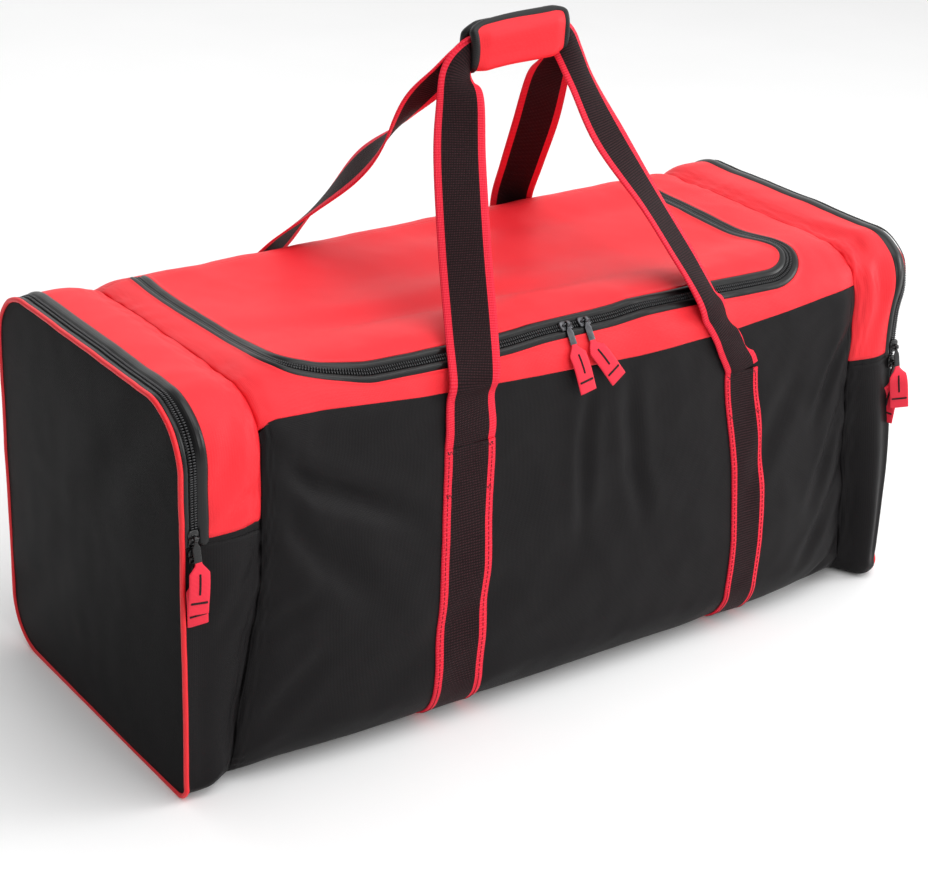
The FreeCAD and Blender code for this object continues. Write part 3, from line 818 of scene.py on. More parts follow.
for sign, end in ((-1, "left"), (1, "right")):
    flap = end + "_flap"
    # gusset, as black and red cloth
    fixed_x = sign * stations(SEAM_X, CAP_X - 1, 3.4)
    inner_x = sign * stations(SEAM_X, END_ZIP_X - END_TAPE_EDGE, 2.6)
    if sign < 0:
        fixed_x, inner_x = fixed_x[::-1], inner_x[::-1]
    share = np.linspace(0, 1, 160)
    lower = between(fixed_x, iso_height(fixed_x, FOLD_Z, True) - LOOP, iso_height(fixed_x, FOLD_Z), share)
    few = np.linspace(0, 1, 4)
    slope = GUSSET_COLOUR_Z + (5.0 if sign < 0 else 1.0) * smooth(END_ZIP_X, SEAM_X, np.abs(inner_x))
    front_strip = between(inner_x, iso_height(inner_x, FOLD_Z), iso_height(inner_x, slope), few)
    rear_strip = between(inner_x, iso_height(inner_x, slope, True), iso_height(inner_x, FOLD_Z, True), few)
    made = piece(end + "_gusset_black", [lower, front_strip, rear_strip], [black_canvas, lining], CANVAS,
                 lining=True)
    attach(made, "root")
    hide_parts(end + "_gusset_lower")
    over_top = np.linspace(0, 1, 150)
    upper = between(inner_x, iso_height(inner_x, slope), iso_height(inner_x, slope, True), over_top)
    made = piece(end + "_gusset_red", [upper], [red_canvas, lining], CANVAS, lining=True)
    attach(made, "root")
    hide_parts(end + "_gusset_top")

    # zip beside the piping: one tape and half coil stay on the gusset, the others fold with the end
    zip_front = float(iso_height(np.array([END_ZIP_X]), FOLD_Z)[0])
    zip_rear = float(iso_height(np.array([END_ZIP_X]), FOLD_Z, True)[0])
    for side, body, tape_node, coil_node in ((-1, "root", end + "_gusset_zip_tape", end + "_gusset_zip_coil"),
                                             (1, flap, end + "_flap_zip_tape", end + "_flap_zip_coil")):
        widest = END_TAPE_EDGE + 2.0 if side < 0 else CAP_X - END_ZIP_X - 1.0
        offset = np.linspace(0.7, widest, 13)[:, None]
        ps = np.linspace(zip_front, zip_rear, 220)[None, :]
        x, p = np.broadcast_arrays(sign * (END_ZIP_X + side * offset), ps)
        folded = patch(skin(x, p, lip(offset, widest)), cloth_uv(p, offset), flip=sign * side < 0)
        tape = piece(tape_node + "_cloth", [folded], [zip_cloth], TAPE)
        p = np.arange(zip_front, zip_rear, COIL_PITCH)
        teeth = coil_row(*skin_track(np.full(len(p), sign * END_ZIP_X), p), -sign * side)
        coil = piece(coil_node + "_nylon", [teeth], [nylon])
        for made, node, slot in ((tape, tape_node, "zip_tape"), (coil, coil_node, "zip_coil")):
            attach(made, body)
            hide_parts(node)

    # end panel, one sheet, and its piping
    u = stations(0, 300, 6.0) / 300
    v = stations(0, 480, 6.0) / 480
    sheet = end_cap(sign * (CAP_X - 0.5), u, v)
    across = sheet[..., 1:2] * sign
    height = sheet[..., 2:3]
    edge = np.sin(np.clip(u, 0, 1) * math.pi)[:, None, None] * np.sin(np.clip(v, 0, 1) * math.pi)[:, None]
    puff = 5.0 * edge**0.6 + 1.2 * edge**0.5 * ripples(across, height, 150, 21 + sign)
    puff += 0.5 * edge**0.3 * ripples(across, height, 60, 31 + sign)
    puff += crease(across, height, (-180, 60), (-20, 170), 22, 2.0)
    puff += crease(across, height, (150, 390), (0, 250), 26, 2.2)
    sheet[..., 0:1] += sign * puff
    panel = piece(end + "_end_canvas", [patch(sheet, sheet[..., 1:] * MM, flip=sign < 0)],
                  [end_canvas_painted_shade, lining], CANVAS, lining=True)
    p = np.linspace(0, LOOP, PIPING_STATIONS, endpoint=False)
    points, _, _, out = skin_track(np.full(PIPING_STATIONS, sign * (CAP_X - 0.6)), p, 0.6)
    tube = cord_tube(points, beside_loop(points, out), out, PIPING_RADIUS, PIPING_RADIUS, PIPING_SIDES)
    uv = cloth_uv(np.arange(PIPING_STATIONS + 1)[:, None] * 2.77, np.arange(PIPING_SIDES + 1) * 1.6)
    piping = piece(end + "_corded_piping", [patch(tube, uv, closed=(True, True), flip=True)], [red_piping])
    for made, nodes, slot in ((panel, ("end_panel", "flap_panel"), "black_polyester"),
                              (piping, ("piping", "flap_piping"), "red_piping")):
        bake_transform(made)
        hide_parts(*[end + "_" + node for node in nodes])


# ---- Dividers ------------------------------------------------------------------------------
# Inside, a wall of black coated lining, sewn into each end seam, parts the main compartment from
# the end pocket.

for sign, end in ((-1, "left"), (1, "right")):
    u = np.linspace(0, 1, 50)
    v = np.linspace(0, 1, 70)
    sheet = end_cap(sign * (SEAM_X + 1.5), u, v)
    middle = sheet.mean(axis=(0, 1))
    sheet += (middle - sheet) * [0, 0.012, 0.012]
    edge = np.sin(u * math.pi)[:, None, None] * np.sin(v * math.pi)[:, None]
    sheet[..., 0:1] += edge * 3.0 * ripples(sheet[..., 1:2], sheet[..., 2:3], 130, 51 + sign)
    made = piece(end + "_divider_lining", [patch(sheet, sheet[..., 1:] * MM, flip=sign < 0)], [lining], 0.8)
    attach(made, "root")
    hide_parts(end + "_divider")


# ---- Sewn webbing --------------------------------------------------------------------------
# Two lengths of 51 mm webbing run up the front, under the bag and up the back: ribbed black
# polypropylene with red edges. Each is stitched down along both edges, and a bar tack at the top
# takes the pull of the handle.

# Half widths: of the webbing as woven, and of the left and right lengths as they lie, spread or bunched a
# little.
WEBBING_HALF = 25.5
STRAP_HALF = (29.5, 22.5)
WEBBING = 2.0
TACK_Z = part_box("left_strap")[1].z / MM
TACK_ROWS = (TACK_Z - 5.0, TACK_Z - 52.0)
tack_p = up_front(TACK_Z, MAIN_ROUND)

# Webbing: thick black yarn with a maroon fleck, ribs 1.4 mm apart drawn at 2.6 mm so that they show; the red
# edge is 7.5 mm wide. UV runs across the webbing in u, from its middle, and along it in v.
webbing, tree, shader = surface("ribbed_webbing", Roughness=0.55, IOR=1.5, Specular_IOR_Level=0.12)
cloth = add(tree, "ShaderNodeUVMap", uv_map="cloth").outputs["UV"]
axes = add(tree, "ShaderNodeSeparateXYZ", {"Vector": cloth})
is_edge = reckon(tree, "GREATER_THAN", reckon(tree, "ABSOLUTE", axes.outputs["X"]), (WEBBING_HALF - 7.5) * MM)
rib = ribs(tree, cloth, 0.0026, "Y", Distortion=0.5, **{"Detail Scale": 3.0})
knit = reckon(tree, "MULTIPLY", rib, ribs(tree, cloth, 0.0016, "X"))
tone = reckon(tree, "MULTIPLY", knit, cloth_noise(tree, cloth, 420.0))
dark = mixed(tree, tone, "#0C0405", "#5C2E35")
bright = mixed(tree, rib, "#E01E34", "#F4384C")
paint(tree, shader, is_edge, dark, bright)
emboss(tree, shader, knit, 0.8, 0.0005)


def thread(name, dark, light):
    """Spun polyester sewing thread, matt, its colour varied along the ply."""
    made, tree, shader = surface(name, Roughness=0.7, IOR=1.5, Specular_IOR_Level=0.25)
    paint(tree, shader, own_noise(tree, 800.0, 2.0), dark, light)
    return made


# Nearly black thread for the bar tacks and ribbons. The edges' is dark red, so that its rows nearly vanish in
# the red.
black_thread = thread("black_sewing_thread", "#0A0809", "#2A1A1D")
red_thread = thread("dark_red_sewing_thread", "#6A0E1A", "#A01828")
STITCH = bar(3.6, 1.0, 0.9, 0.04)


def strap_x(leg, p):
    """The straps aren't quite straight: the left one is sewn to the right of true high up, the right one more
    so lower down, and each wanders a millimetre or two along its length."""
    low = smooth(tack_p, 240, np.abs(p))
    aside = 17.0 - 17.0 * low if leg < 0 else 5.0 + 9.0 * smooth(tack_p, tack_p - 90, np.abs(p))
    return leg + aside + 1.5 * np.sin(p / 150.0 + leg) * smooth(0, 0.4, low)


def stitch_line(x, p, proud, pitch=4.6, shape=STITCH, slot=0):
    """Stitches laid end to end along a path on the skin given by arrays of x and p, a pitch apart."""
    length = np.concatenate([[0], np.cumsum(np.hypot(np.diff(x), np.diff(p)))])
    at = np.arange(pitch / 2, length[-1], pitch)
    points, along, aside, out = skin_track(np.interp(at, length, x), np.interp(at, length, p), proud)
    return repeated(shape, points, along, aside, out, slot)


tacks = []
for leg, half, node in zip(LEG_X, STRAP_HALF, ("left_strap", "right_strap")):
    share = np.linspace(-1, 1, 19)[:, None]
    ps = np.linspace(-tack_p, tack_p, 330)[None, :]
    x, p = np.broadcast_arrays(strap_x(leg, ps) + share * half, ps)
    rounded = 2.3 - 0.8 * share**8
    uv = cloth_uv(share * WEBBING_HALF, p)
    strap = piece(node + "_webbing", [patch(skin(x, p, rounded), uv)], [webbing], WEBBING)
    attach(strap, "root")
    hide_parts(node)
    path = np.linspace(-tack_p + 6, tack_p - 6, 700)
    for across in (-0.85, 0.85):
        tacks.append(stitch_line(strap_x(leg, path) + across * half, path, 2.3, slot=1))
    for z in TACK_ROWS:
        for rear in (False, True):
            p = float(iso_height(np.array([leg]), z, rear)[0])
            p = p - LOOP if rear else p
            across = np.linspace(-half + 3, half - 3, 60)
            zigzag = p + 1.6 * np.sin(across * 1.6)
            tacks.append(stitch_line(strap_x(leg, zigzag) + across, zigzag, 1.95, 2.0))
stitching = piece("strap_stitching", tacks, [black_thread, red_thread])
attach(stitching, "root")
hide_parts("bar_tacks")


# ---- Handles -------------------------------------------------------------------------------
# The same webbing, free above the bar tacks: two long loops that meet over the bag. Each leg is
# flat where it leaves the panel, turns on itself on the way up, and gathers where the wrap holds it.

GRIP_Z = (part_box("grip_pad")[0].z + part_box("grip_pad")[1].z) / 2 / MM
HANDLE_STATIONS = 9


def spline(rows, count):
    """Smooth curve through rows of numbers (Catmull-Rom), sampled count times per span."""
    rows = np.asarray(rows, float)
    padded_rows = np.vstack([2 * rows[0] - rows[1], rows, 2 * rows[-1] - rows[-2]])
    t = np.linspace(0, 1, count, endpoint=False)[:, None]
    spans = []
    for a, b, c, d in zip(padded_rows, padded_rows[1:], padded_rows[2:], padded_rows[3:]):
        square = 2 * a - 5 * b + 4 * c - d
        cube = 3 * b - a - 3 * c + d
        spans.append(0.5 * (2 * b + (c - a) * t + square * t**2 + cube * t**3))
    return np.vstack([*spans, rows[-1:]])


def webbing_loop(name, rows, rear):
    """Free webbing along a route. Each row: x, y, z, the way its width points (0 along x, 90 down, 180
    against x), its roll about its own path in degrees, and its half width. The section cups a little."""
    route = spline(rows, HANDLE_STATIONS)
    points = route[:, :3]
    along = unit(np.gradient(points, axis=0))
    facing = np.radians(route[:, 3])
    rough = np.stack([np.cos(facing), np.zeros(len(route)), -np.sin(facing)], axis=-1)
    aside = unit(rough - along * np.sum(rough * along, axis=-1, keepdims=True))
    out = np.cross(aside, along)
    roll = np.radians(route[:, 4:5])
    aside, out = aside * np.cos(roll) + out * np.sin(roll), out * np.cos(roll) - aside * np.sin(roll)
    share = np.linspace(-1, 1, 19)
    half_width = route[:, 5:6]
    s = share * half_width
    cup = np.minimum(half_width / 23.0 - 1, 0) * 26 * (share**2 - 0.25) - 0.8 * share**4
    grid = points + aside * s.T[..., None] + out * cup.T[..., None]
    length = np.concatenate([[0], np.cumsum(np.linalg.norm(np.diff(points, axis=0), axis=1))])
    uv = cloth_uv((share * WEBBING_HALF)[:, None], length)
    if rear:
        grid = grid * [1, -1, 1]
    made = piece(name, [patch(grid, uv, flip=rear)], [webbing], WEBBING)
    made.modifiers["thickness"].offset = 0.0
    return made


def tack_end(leg, rear):
    """Where the sewn length ends: the middle of the webbing there, as for a handle at the front."""
    p = LOOP - tack_p if rear else tack_p
    x, y, z = skin(strap_x(leg, -tack_p if rear else tack_p), p, 1.3)
    return x, -abs(y), z


def against(x, z):
    """A place at that height where the webbing leans on the front of the bag, as x, y and z."""
    return x, float(skin(x, up_front(z, MAIN_ROUND), 3.0)[1]), z


# The routes: up the left leg, along the grip and down the right leg. The back handle is given as if it were at
# the front, and mirrored. The two hang a little differently.
left_tack, right_tack = (tack_end(leg, False) for leg in LEG_X)
front_rows = [
    (*left_tack, 0, 0, STRAP_HALF[0]),
    (*against(left_tack[0], 320), 0, 0, STRAP_HALF[0]),
    (*against(-140, 350), 0, 0, 28),
    (-140, -195, 375, 0, 10, 26),
    (-125, -165, 415, 0, 20, 26),
    (-100, -115, 475, 5, 30, 26),
    (-70, -60, 545, 10, 30, 26),
    (-50, -30, 590, 15, 40, 24),
    (-40, -12, 612, 30, 20, 19),
    (-26, -6, 626, 60, 5, 16),
    (-6, -3.4, 631, 84, 0, 18),
    (38, -3.4, GRIP_Z, 90, 0, 19),
    (78, -3.4, 638, 96, 0, 18),
    (94, -5, 636, 112, 10, 16),
    (100, -13, 620, 138, 15, 17),
    (105, -30, 592, 160, 20, 20),
    (115, -65, 542, 170, 10, 23),
    (140, -110, 480, 180, 20, 24),
    (160, -150, 425, 180, 20, 23),
    (168, -180, 392, 180, 18, 20),
    (*against(179, 370), 180, 14, 20),
    (*against(191, 348), 180, 10, 20),
    (*against(204, 326), 180, 8, 20),
    (*against(212, 312), 180, 2, 21),
    (*right_tack, 180, 0, STRAP_HALF[1]),
]
left_tack, right_tack = (tack_end(leg, True) for leg in LEG_X)
back_rows = [
    (*left_tack, 0, 0, STRAP_HALF[0]),
    (left_tack[0], left_tack[1] - 1.2, 328, 0, 0, STRAP_HALF[0]),
    (-145, -193, 365, 0, 10, 26),
    (-135, -170, 400, 0, 15, 25),
    (-112, -130, 450, 5, 40, 24),
    (-90, -92, 498, 5, 60, 24),
    (-70, -60, 538, 10, 40, 24),
    (-58, -31, 582, 20, 10, 21),
    (-43, -12, 610, 40, 5, 17),
    (-27, -6, 625, 62, 0, 16),
    (-6, -3.4, 631, 84, 0, 18),
    (38, -3.4, GRIP_Z, 90, 0, 19),
    (78, -3.4, 638, 96, 0, 18),
    (95, -6, 634, 112, 5, 16.5),
    (102, -16, 610, 142, 30, 18.5),
    (112, -40, 575, 162, 45, 22.5),
    (135, -85, 515, 172, 30, 25),
    (155, -132, 450, 180, 20, 25),
    (172, -170, 398, 180, 15, 25),
    (190, -192, 358, 180, 5, 25),
    (right_tack[0], right_tack[1] - 1.2, 326, 180, 0, STRAP_HALF[1]),
    (*right_tack, 180, 0, STRAP_HALF[1]),
]
for name, rows, rear in (("front_handle", front_rows, False), ("back_handle", back_rows, True)):
    made = webbing_loop(name + "_webbing", rows, rear)
    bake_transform(made)
    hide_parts(name)


# ---- Grip wrap -----------------------------------------------------------------------------
# A padded sheet of red canvas folded up round both grips, its long edges meeting on top. Black
# bias binding is sewn round all four edges.

WRAP_X0, WRAP_X1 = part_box("grip_pad")[0].x / MM + 1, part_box("grip_pad")[1].x / MM - 15
WRAP_HALF_DEPTH = 16.0
WRAP_HALF_HEIGHT = 25.5
WRAP_TILT = 0.07
WRAP_CORNER = 13.0
WRAP_FRONT_EDGE = 6.0
WRAP_BACK_EDGE = 328.0
DEGREES_PER_MM = 2.3
PAD = 7.0
BINDING_ASIDE = 4.8
BINDING_OUT = PAD / 2 + 1.6
BINDING_SIDES = 14


def squarish(wave, power):
    """A sine or cosine to a power, its sign kept: a power below 1 squares off the circle that they draw."""
    return np.sign(wave) * np.abs(wave) ** power


def wrap_skin(x, turn, proud=0.0):
    """Outside of the wrap: round a superellipse, turn degrees from the top forwards, under and up the
    back. It thins out at the ends, soft ridges run lengthwise, and the whole rises a little to the
    right."""
    x, turn = np.broadcast_arrays(x, turn)
    angle = np.radians(turn)
    ends = np.minimum(x - WRAP_X0, WRAP_X1 - x)
    full = smooth(-2, 16, ends)
    ridges = 1.3 * np.cos(np.radians(turn * 5 + 30)) + 0.9 * np.sin(x / 19 + turn / 40)
    radial = proud - 2.6 * (1 - full) + full * ridges
    y = -(WRAP_HALF_DEPTH + radial) * squarish(np.sin(angle), 0.72)
    tilt = WRAP_TILT * (x - (WRAP_X0 + WRAP_X1) / 2)
    z = GRIP_Z + 3 + (WRAP_HALF_HEIGHT + radial) * squarish(np.cos(angle), 0.78) + tilt
    return np.stack([x, y, z], axis=-1)


def wrap_edges(x):
    """First and last turn of the sheet at a place along it: its corners are rounded."""
    into = np.clip(WRAP_CORNER - np.minimum(x - WRAP_X0, WRAP_X1 - x), 0, WRAP_CORNER)
    cut = (WRAP_CORNER - np.sqrt(np.maximum(WRAP_CORNER**2 - into**2, 0))) * DEGREES_PER_MM
    return WRAP_FRONT_EDGE + cut, WRAP_BACK_EDGE - cut


x = stations(WRAP_X0, WRAP_X1, 2.2, edge=14, edge_step=0.7)
first, last = wrap_edges(x)
share = np.linspace(0, 1, 120)[None, :]
turn = first[:, None] + (last - first)[:, None] * share
grid = wrap_skin(x[:, None], turn)
uv = cloth_uv(x[:, None], turn / DEGREES_PER_MM)
pad = piece("grip_wrap_canvas", [patch(grid, uv, flip=True)], [red_canvas, lining], PAD, lining=True)

# The binding follows the sheet's outline: along the front edge, round the corners, and back along the
# rear edge.
corner_degrees = WRAP_CORNER * DEGREES_PER_MM
corner_turns = np.linspace(0, math.pi / 2, 12)[1:-1]
long_x = np.linspace(WRAP_X0 + WRAP_CORNER, WRAP_X1 - WRAP_CORNER, 60)
end_turn = np.linspace(WRAP_FRONT_EDGE + corner_degrees, WRAP_BACK_EDGE - corner_degrees, 110)
bend_x = WRAP_CORNER * (1 - np.cos(corner_turns))
bend_turn = WRAP_CORNER * (1 - np.sin(corner_turns)) * DEGREES_PER_MM
still_x, still_turn = np.ones(len(end_turn)), np.ones(len(long_x))
outline_x = np.concatenate([long_x, WRAP_X1 - bend_x[::-1], WRAP_X1 * still_x, WRAP_X1 - bend_x,
                            long_x[::-1], WRAP_X0 + bend_x[::-1], WRAP_X0 * still_x, WRAP_X0 + bend_x])
outline_turn = np.concatenate([WRAP_FRONT_EDGE * still_turn, WRAP_FRONT_EDGE + bend_turn[::-1], end_turn,
                               WRAP_BACK_EDGE - bend_turn, WRAP_BACK_EDGE * still_turn,
                               WRAP_BACK_EDGE - bend_turn[::-1], end_turn[::-1], WRAP_FRONT_EDGE + bend_turn])
points = wrap_skin(outline_x, outline_turn, -PAD / 2)
out = unit(wrap_skin(outline_x, outline_turn, 1.0) - wrap_skin(outline_x, outline_turn, 0.0))
tube = cord_tube(points, beside_loop(points, out), out, BINDING_ASIDE, BINDING_OUT, BINDING_SIDES)

# Bias binding: black nylon tape with a fine twill.
bias_tape, tree, shader = surface("black_bias_binding", Roughness=0.45, IOR=1.5, Specular_IOR_Level=0.3)
place = add(tree, "ShaderNodeTexCoord").outputs["Object"]
twill = ribs(tree, place, 0.0012, "DIAGONAL")
paint(tree, shader, twill, "#0A0A0B", "#1C1C1D")
emboss(tree, shader, twill, 0.35, 0.0002)
uv = cloth_uv(np.arange(len(outline_x) + 1)[:, None] * 1.5, np.arange(BINDING_SIDES + 1) * 1.5)
binding = piece("grip_wrap_binding", [patch(tube, uv, closed=(True, True), flip=True)], [bias_tape])
for made, nodes, slot in ((pad, ("grip_pad", "grip_flap_pad"), "red_polyester"),
                          (binding, ("grip_binding", "grip_flap_binding"), "black_binding")):
    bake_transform(made)
    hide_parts(*nodes)


# ---- Sliders and pulls ---------------------------------------------------------------------
# Die-cast zinc sliders, two on the lid and two on each end: a domed plate with rolled sides, a
# wire bail, and a flat puller with an eye. Each is lengthened by a loop of red ribbon.

SLIDER_SIZE = (15.0, 12.0)
BAIL_HEIGHT = 5.6
BAIL_WIRE = 1.05
PULLER_END = 24.0
PULLER_THICK = 1.6
RIBBON_HALF_WIDTH = 10.5
RIBBON_THICK = 1.3
RIBBON_LENGTH = 50.0
RIBBON_STATIONS = 40
RIBBON_SIDES = 24


def stack_of_rings(outline, levels):
    """Closed solid: an outline in the plane, repeated at each level as (height, scale), its first and
    last rings shrunk to a point by a zero scale."""
    middle = outline.mean(axis=0)
    rings = [np.column_stack([middle + (outline - middle) * scale, np.full(len(outline), height)])
             for height, scale in levels]
    return np.stack(rings)


def rounded_box(half_x, half_y, power, waist=0.0, count=40):
    """Outline |x/a|^n + |y/b|^n = 1, anticlockwise, narrowed at mid length by the waist."""
    t = np.arange(count) * 2 * math.pi / count
    x = squarish(np.cos(t), 2 / power) * half_x
    y = squarish(np.sin(t), 2 / power) * half_y
    if half_x >= half_y:
        return np.column_stack([x, y * (1 - waist * bell(x, 0.25 * half_x, half_x * 0.45))])
    return np.column_stack([x * (1 - waist * bell(y, -0.25 * half_y, half_y * 0.45)), y])


def round_wire(path, radius, sides=10):
    """Wire of round section along a smooth path, its ends closed to a point."""
    along = unit(np.gradient(path, axis=0))
    reference = np.where(np.abs(along[:, 0:1]) > 0.9, [[0.0, 1.0, 0.0]], [[1.0, 0.0, 0.0]])
    aside = unit(np.cross(along, reference))
    out = np.cross(along, aside)
    radii = np.full(len(path), radius)
    radii[0] = radii[-1] = 0.001
    turns = np.arange(sides) * 2 * math.pi / sides
    ring = aside[:, None] * np.cos(turns)[None, :, None] + out[:, None] * np.sin(turns)[None, :, None]
    return path[:, None] + ring * radii[:, None, None]


def drawn_slider(size_x, size_y):
    """Slider drawn flat, outward side up: bottom edge, rolled side walls, domed plate, and the bail over
    it."""
    outline = rounded_box(size_x / 2, size_y / 2, 3.2, 0.22)
    body = stack_of_rings(outline, ((-1.6, 0.001), (-1.6, 0.86), (-1.2, 0.97), (0.6, 1.0), (1.9, 1.0),
                                    (2.5, 0.93), (2.9, 0.74), (3.1, 0.4), (3.15, 0.001)))
    raised = rounded_box(size_x / 2 * 0.55, size_y / 2 * 0.55, 3.0)
    plate = stack_of_rings(raised, ((2.6, 0.001), (2.6, 1.0), (3.35, 0.96), (3.5, 0.8), (3.5, 0.001)))
    t = np.linspace(0, math.pi, 28)
    arch = np.column_stack([4.6 * squarish(np.cos(t), 0.75), np.zeros(28),
                            2.4 + (BAIL_HEIGHT - 2.4) * np.sin(t) ** 0.6])
    bail = round_wire(arch, BAIL_WIRE)
    return [patch(grid, closed=(False, True), flip=True) for grid in (body, plate, bail)]


def with_end_points(tube):
    """The tube closed: before its first ring and after its last, a ring shrunk to that one's middle."""
    first, last = (tube[k].mean(axis=0) + 0 * tube[k] for k in (0, -1))
    return np.concatenate([first[None], tube, last[None]])


def drawn_puller():
    """Puller drawn flat, pointing to -y: an eye round the bail, a neck, and a tab with a slot for the
    ribbon."""
    t = np.linspace(0, 2 * math.pi, 33)[:-1]
    centre = np.column_stack([np.zeros(32), 2.45 * np.cos(t), BAIL_HEIGHT + 2.45 * np.sin(t)])
    out = np.column_stack([np.zeros(32), np.cos(t), np.sin(t)])
    aside = np.tile([1.0, 0.0, 0.0], (32, 1))
    eye = cord_tube(centre, aside, out, 2.0, 0.75, 12)
    y = np.linspace(-2.6, -PULLER_END, 30)
    half_width = 1.9 + 2.1 * smooth(-3.5, -9, y) - 1.0 * smooth(-PULLER_END + 2.2, -PULLER_END, y)
    half_thick = PULLER_THICK / 2 * (1 - 0.12 * smooth(-12, -6, y))
    turns = np.arange(20) * 2 * math.pi / 20
    across = squarish(np.cos(turns), 0.45)
    upward = squarish(np.sin(turns), 0.7)
    tab = np.stack([across[None, :] * half_width[:, None], np.repeat(y[:, None], 20, axis=1),
                    BAIL_HEIGHT + upward[None, :] * half_thick[:, None]], axis=-1)
    tab = with_end_points(tab)
    return [patch(eye, closed=(True, True), flip=True), patch(tab, closed=(False, True), flip=True)]


def ribbon_route(turning, splay, twist):
    """Middle line of a ribbon drawn flat from the puller's end: it turns down by the turning (degrees)
    over its length, drifts to the side by the splay and twists about itself by the twist. Returns points,
    directions along, aside and out."""
    s = np.linspace(0, RIBBON_LENGTH, RIBBON_STATIONS)
    pitch = -np.radians(turning) * np.sin(np.clip(s / RIBBON_LENGTH, 0, 1) * math.pi / 2)
    yaw = np.radians(splay) * smooth(0, 14, s)
    along = np.column_stack([np.sin(yaw) * np.cos(pitch), -np.cos(yaw) * np.cos(pitch), np.sin(pitch)])
    step = RIBBON_LENGTH / (RIBBON_STATIONS - 1)
    points = np.array([0, -PULLER_END + 3.4, BAIL_HEIGHT]) + np.cumsum(along * step, axis=0)
    aside = np.column_stack([np.cos(yaw), np.sin(yaw), np.zeros(RIBBON_STATIONS)])
    out = np.cross(along, aside)
    spin = np.radians(twist) * smooth(2, 22, s)[:, None]
    aside, out = aside * np.cos(spin) + out * np.sin(spin), out * np.cos(spin) - aside * np.sin(spin)
    return s, points, along, aside, out


def drawn_ribbon(turning, splay, twist):
    """Ribbon loop: a flat tube along its route, chamfered at the top where it passes the puller's slot,
    with a gentle wave. Its stitches are a bar down the middle and one across near the end."""
    s, points, along, aside, out = ribbon_route(turning, splay, twist)
    half_width = 3.6 + (RIBBON_HALF_WIDTH - 3.6) * np.clip((s - 2.0) / 8.0, 0, 1)
    half_thick = RIBBON_THICK * (0.75 + 0.35 * np.sin(s / RIBBON_LENGTH * math.pi))
    wave = 0.8 * np.sin(s / 11.0)
    turns = np.arange(RIBBON_SIDES) * 2 * math.pi / RIBBON_SIDES
    across = squarish(np.cos(turns), 0.4)
    upward = squarish(np.sin(turns), 0.8)
    middle = points + out * wave[:, None]
    tube = (middle[:, None] + aside[:, None] * (across[None, :] * half_width[:, None])[..., None]
            + out[:, None] * (upward[None, :] * half_thick[:, None])[..., None])
    tube = with_end_points(tube)
    uv = cloth_uv(np.arange(len(tube))[:, None] * 1.3, np.arange(RIBBON_SIDES + 1) * 2.0)
    lie = middle + out * (half_thick + 0.15)[:, None]
    down = np.linspace(12, 29, 8)
    route = np.stack([np.interp(down, s, lie[:, k]) for k in range(3)], axis=-1)
    directions = [np.stack([np.interp(down, s, axis[:, k]) for k in range(3)], axis=-1)
                  for axis in (along, aside, out)]
    stitch = bar(3.0, 2.2, 1.4)
    middle_row = repeated(stitch, route, *directions, slot=1)
    low = int(np.searchsorted(s, 38.0))
    spots = lie[low] + aside[low] * np.linspace(-7, 7, 7)[:, None]
    turned = [np.tile(axis[low], (7, 1)) for axis in (aside, -along, out)]
    cross_row = repeated(stitch, spots, *turned, slot=1)
    return [patch(tube, uv, closed=(False, True), flip=True), middle_row, cross_row]


def placed(patches, x, y, z, tilt, drop):
    """Patches drawn flat, swung about the bail by the drop, tilted about X onto the bag, and moved into
    place."""
    moved = []
    for vertices, quads, uv, slots in patches:
        for angle, height in ((drop, BAIL_HEIGHT), (tilt, 0.0)):
            c, s = math.cos(math.radians(angle)), math.sin(math.radians(angle))
            turn = np.array([[1, 0, 0], [0, c, -s], [0, s, c]])
            vertices = (vertices - [0, 0, height]) @ turn.T + [0, 0, height]
        moved.append((vertices + [x, y, z], quads, uv, slots))
    return moved


def metal(name, dark, light, roughness, metallic):
    """Cast metal with a thin finish: noise clouds the colour and roughness, a fine bump keeps the cast
    skin."""
    made, tree, shader = surface(name, Metallic=metallic, Roughness=roughness)
    cloud = own_noise(tree, 160.0, 4.0)
    gloss = add(tree, "ShaderNodeMapRange", {"Value": cloud, "To Min": roughness - 0.08,
                                             "To Max": roughness + 0.1})
    tree.links.new(gloss.outputs["Result"], shader.inputs["Roughness"])
    paint(tree, shader, cloud, dark, light)
    emboss(tree, shader, cloud, 0.15, 0.0002)
    return made


# Gunmetal plating on the lid's sliders; black enamel on the end ones.
gunmetal = metal("gunmetal_plated_zinc", "#3C3C3F", "#6A6A6D", 0.36, 1.0)
black_enamel = metal("black_enamelled_zinc", "#0C0C0D", "#1A1A1B", 0.25, 0.0)
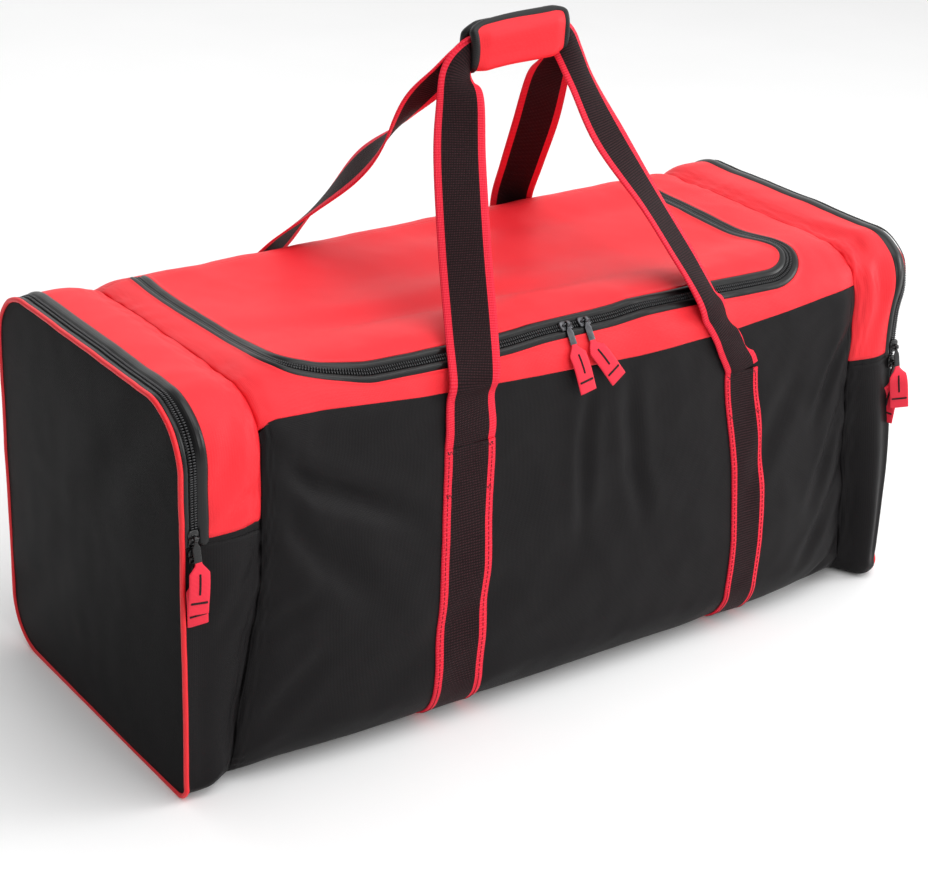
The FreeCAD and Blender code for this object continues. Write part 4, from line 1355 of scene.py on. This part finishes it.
# Ribbon: red grosgrain, fine cross ribs 0.8 mm apart drawn at 1.2 mm.
ribbon_cloth, tree, shader = surface("red_grosgrain_ribbon", Roughness=0.5, IOR=1.5, Specular_IOR_Level=0.25)
cloth = add(tree, "ShaderNodeUVMap", uv_map="cloth").outputs["UV"]
rib = ribs(tree, cloth, 0.0012, "X")
paint(tree, shader, rib, "#D81E34", "#F03248")
emboss(tree, shader, rib, 0.4, 0.0002)

# Each pull: its zip, where its slider sits, the slider's tilt, how far the puller drops, and its ribbon's
# turning, splay and twist. The lid's sliders sit on the shoulder arc, 165 mm in front of the bag's
# middle.
LID_ZIP_Y = -165.0
LID_SLOPE = math.asin((-(HALF_DEPTH - TOP_RADIUS) - LID_ZIP_Y) / TOP_RADIUS)
lid_z = TOP_Z - TOP_RADIUS + TOP_RADIUS * math.cos(LID_SLOPE)
ZIP_PULLS = [("lid_left", (-9.0, LID_ZIP_Y, lid_z), math.degrees(LID_SLOPE), 17.0, 16.0, 9.0, 0.0),
             ("lid_right", (14.0, LID_ZIP_Y, lid_z), math.degrees(LID_SLOPE), 17.0, 10.0, 30.0, 8.0)]
for sign, end, twist in ((-1, "left", 6.0), (1, "right", 70.0)):
    for level, z, drop, turning, splay, share in (("lower", 264.5, 0.0, 4.0, -4.0, 1.0),
                                                  ("upper", 283.5, -14.0, 9.0, 6.0, 0.5)):
        ZIP_PULLS.append((end + "_" + level, (sign * END_ZIP_X, -HALF_DEPTH, z), 90.0, drop, turning,
                          splay * sign, twist * share))
for name, at, tilt, drop, turning, splay, twist in ZIP_PULLS:
    on_lid = name.startswith("lid")
    size = SLIDER_SIZE if on_lid else SLIDER_SIZE[::-1]
    finish = gunmetal if on_lid else black_enamel
    metal_slot = "slider_grey" if on_lid else "slider_black"
    ribbon = drawn_ribbon(turning, splay, twist)
    parts = (
        ("slider", "body", drawn_slider(*size), 0.0, [finish], metal_slot),
        ("puller", "tab", drawn_puller(), drop, [finish], metal_slot),
        ("ribbon", "loop", ribbon, drop, [ribbon_cloth, black_thread], "pull_ribbon"),
    )
    for part, suffix, patches, swing, materials, slot in parts:
        hung = placed(patches, *at, tilt, swing)
        made = piece(name + "_" + part + "_" + suffix, hung, materials, weld=0.005)
        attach(made, name + ("_slider" if part == "slider" else "_pull"))
        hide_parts(name + "_" + part)


size = {"cad": [list(cad_low), list(cad_high)], "visual": [list(v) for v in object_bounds()]}
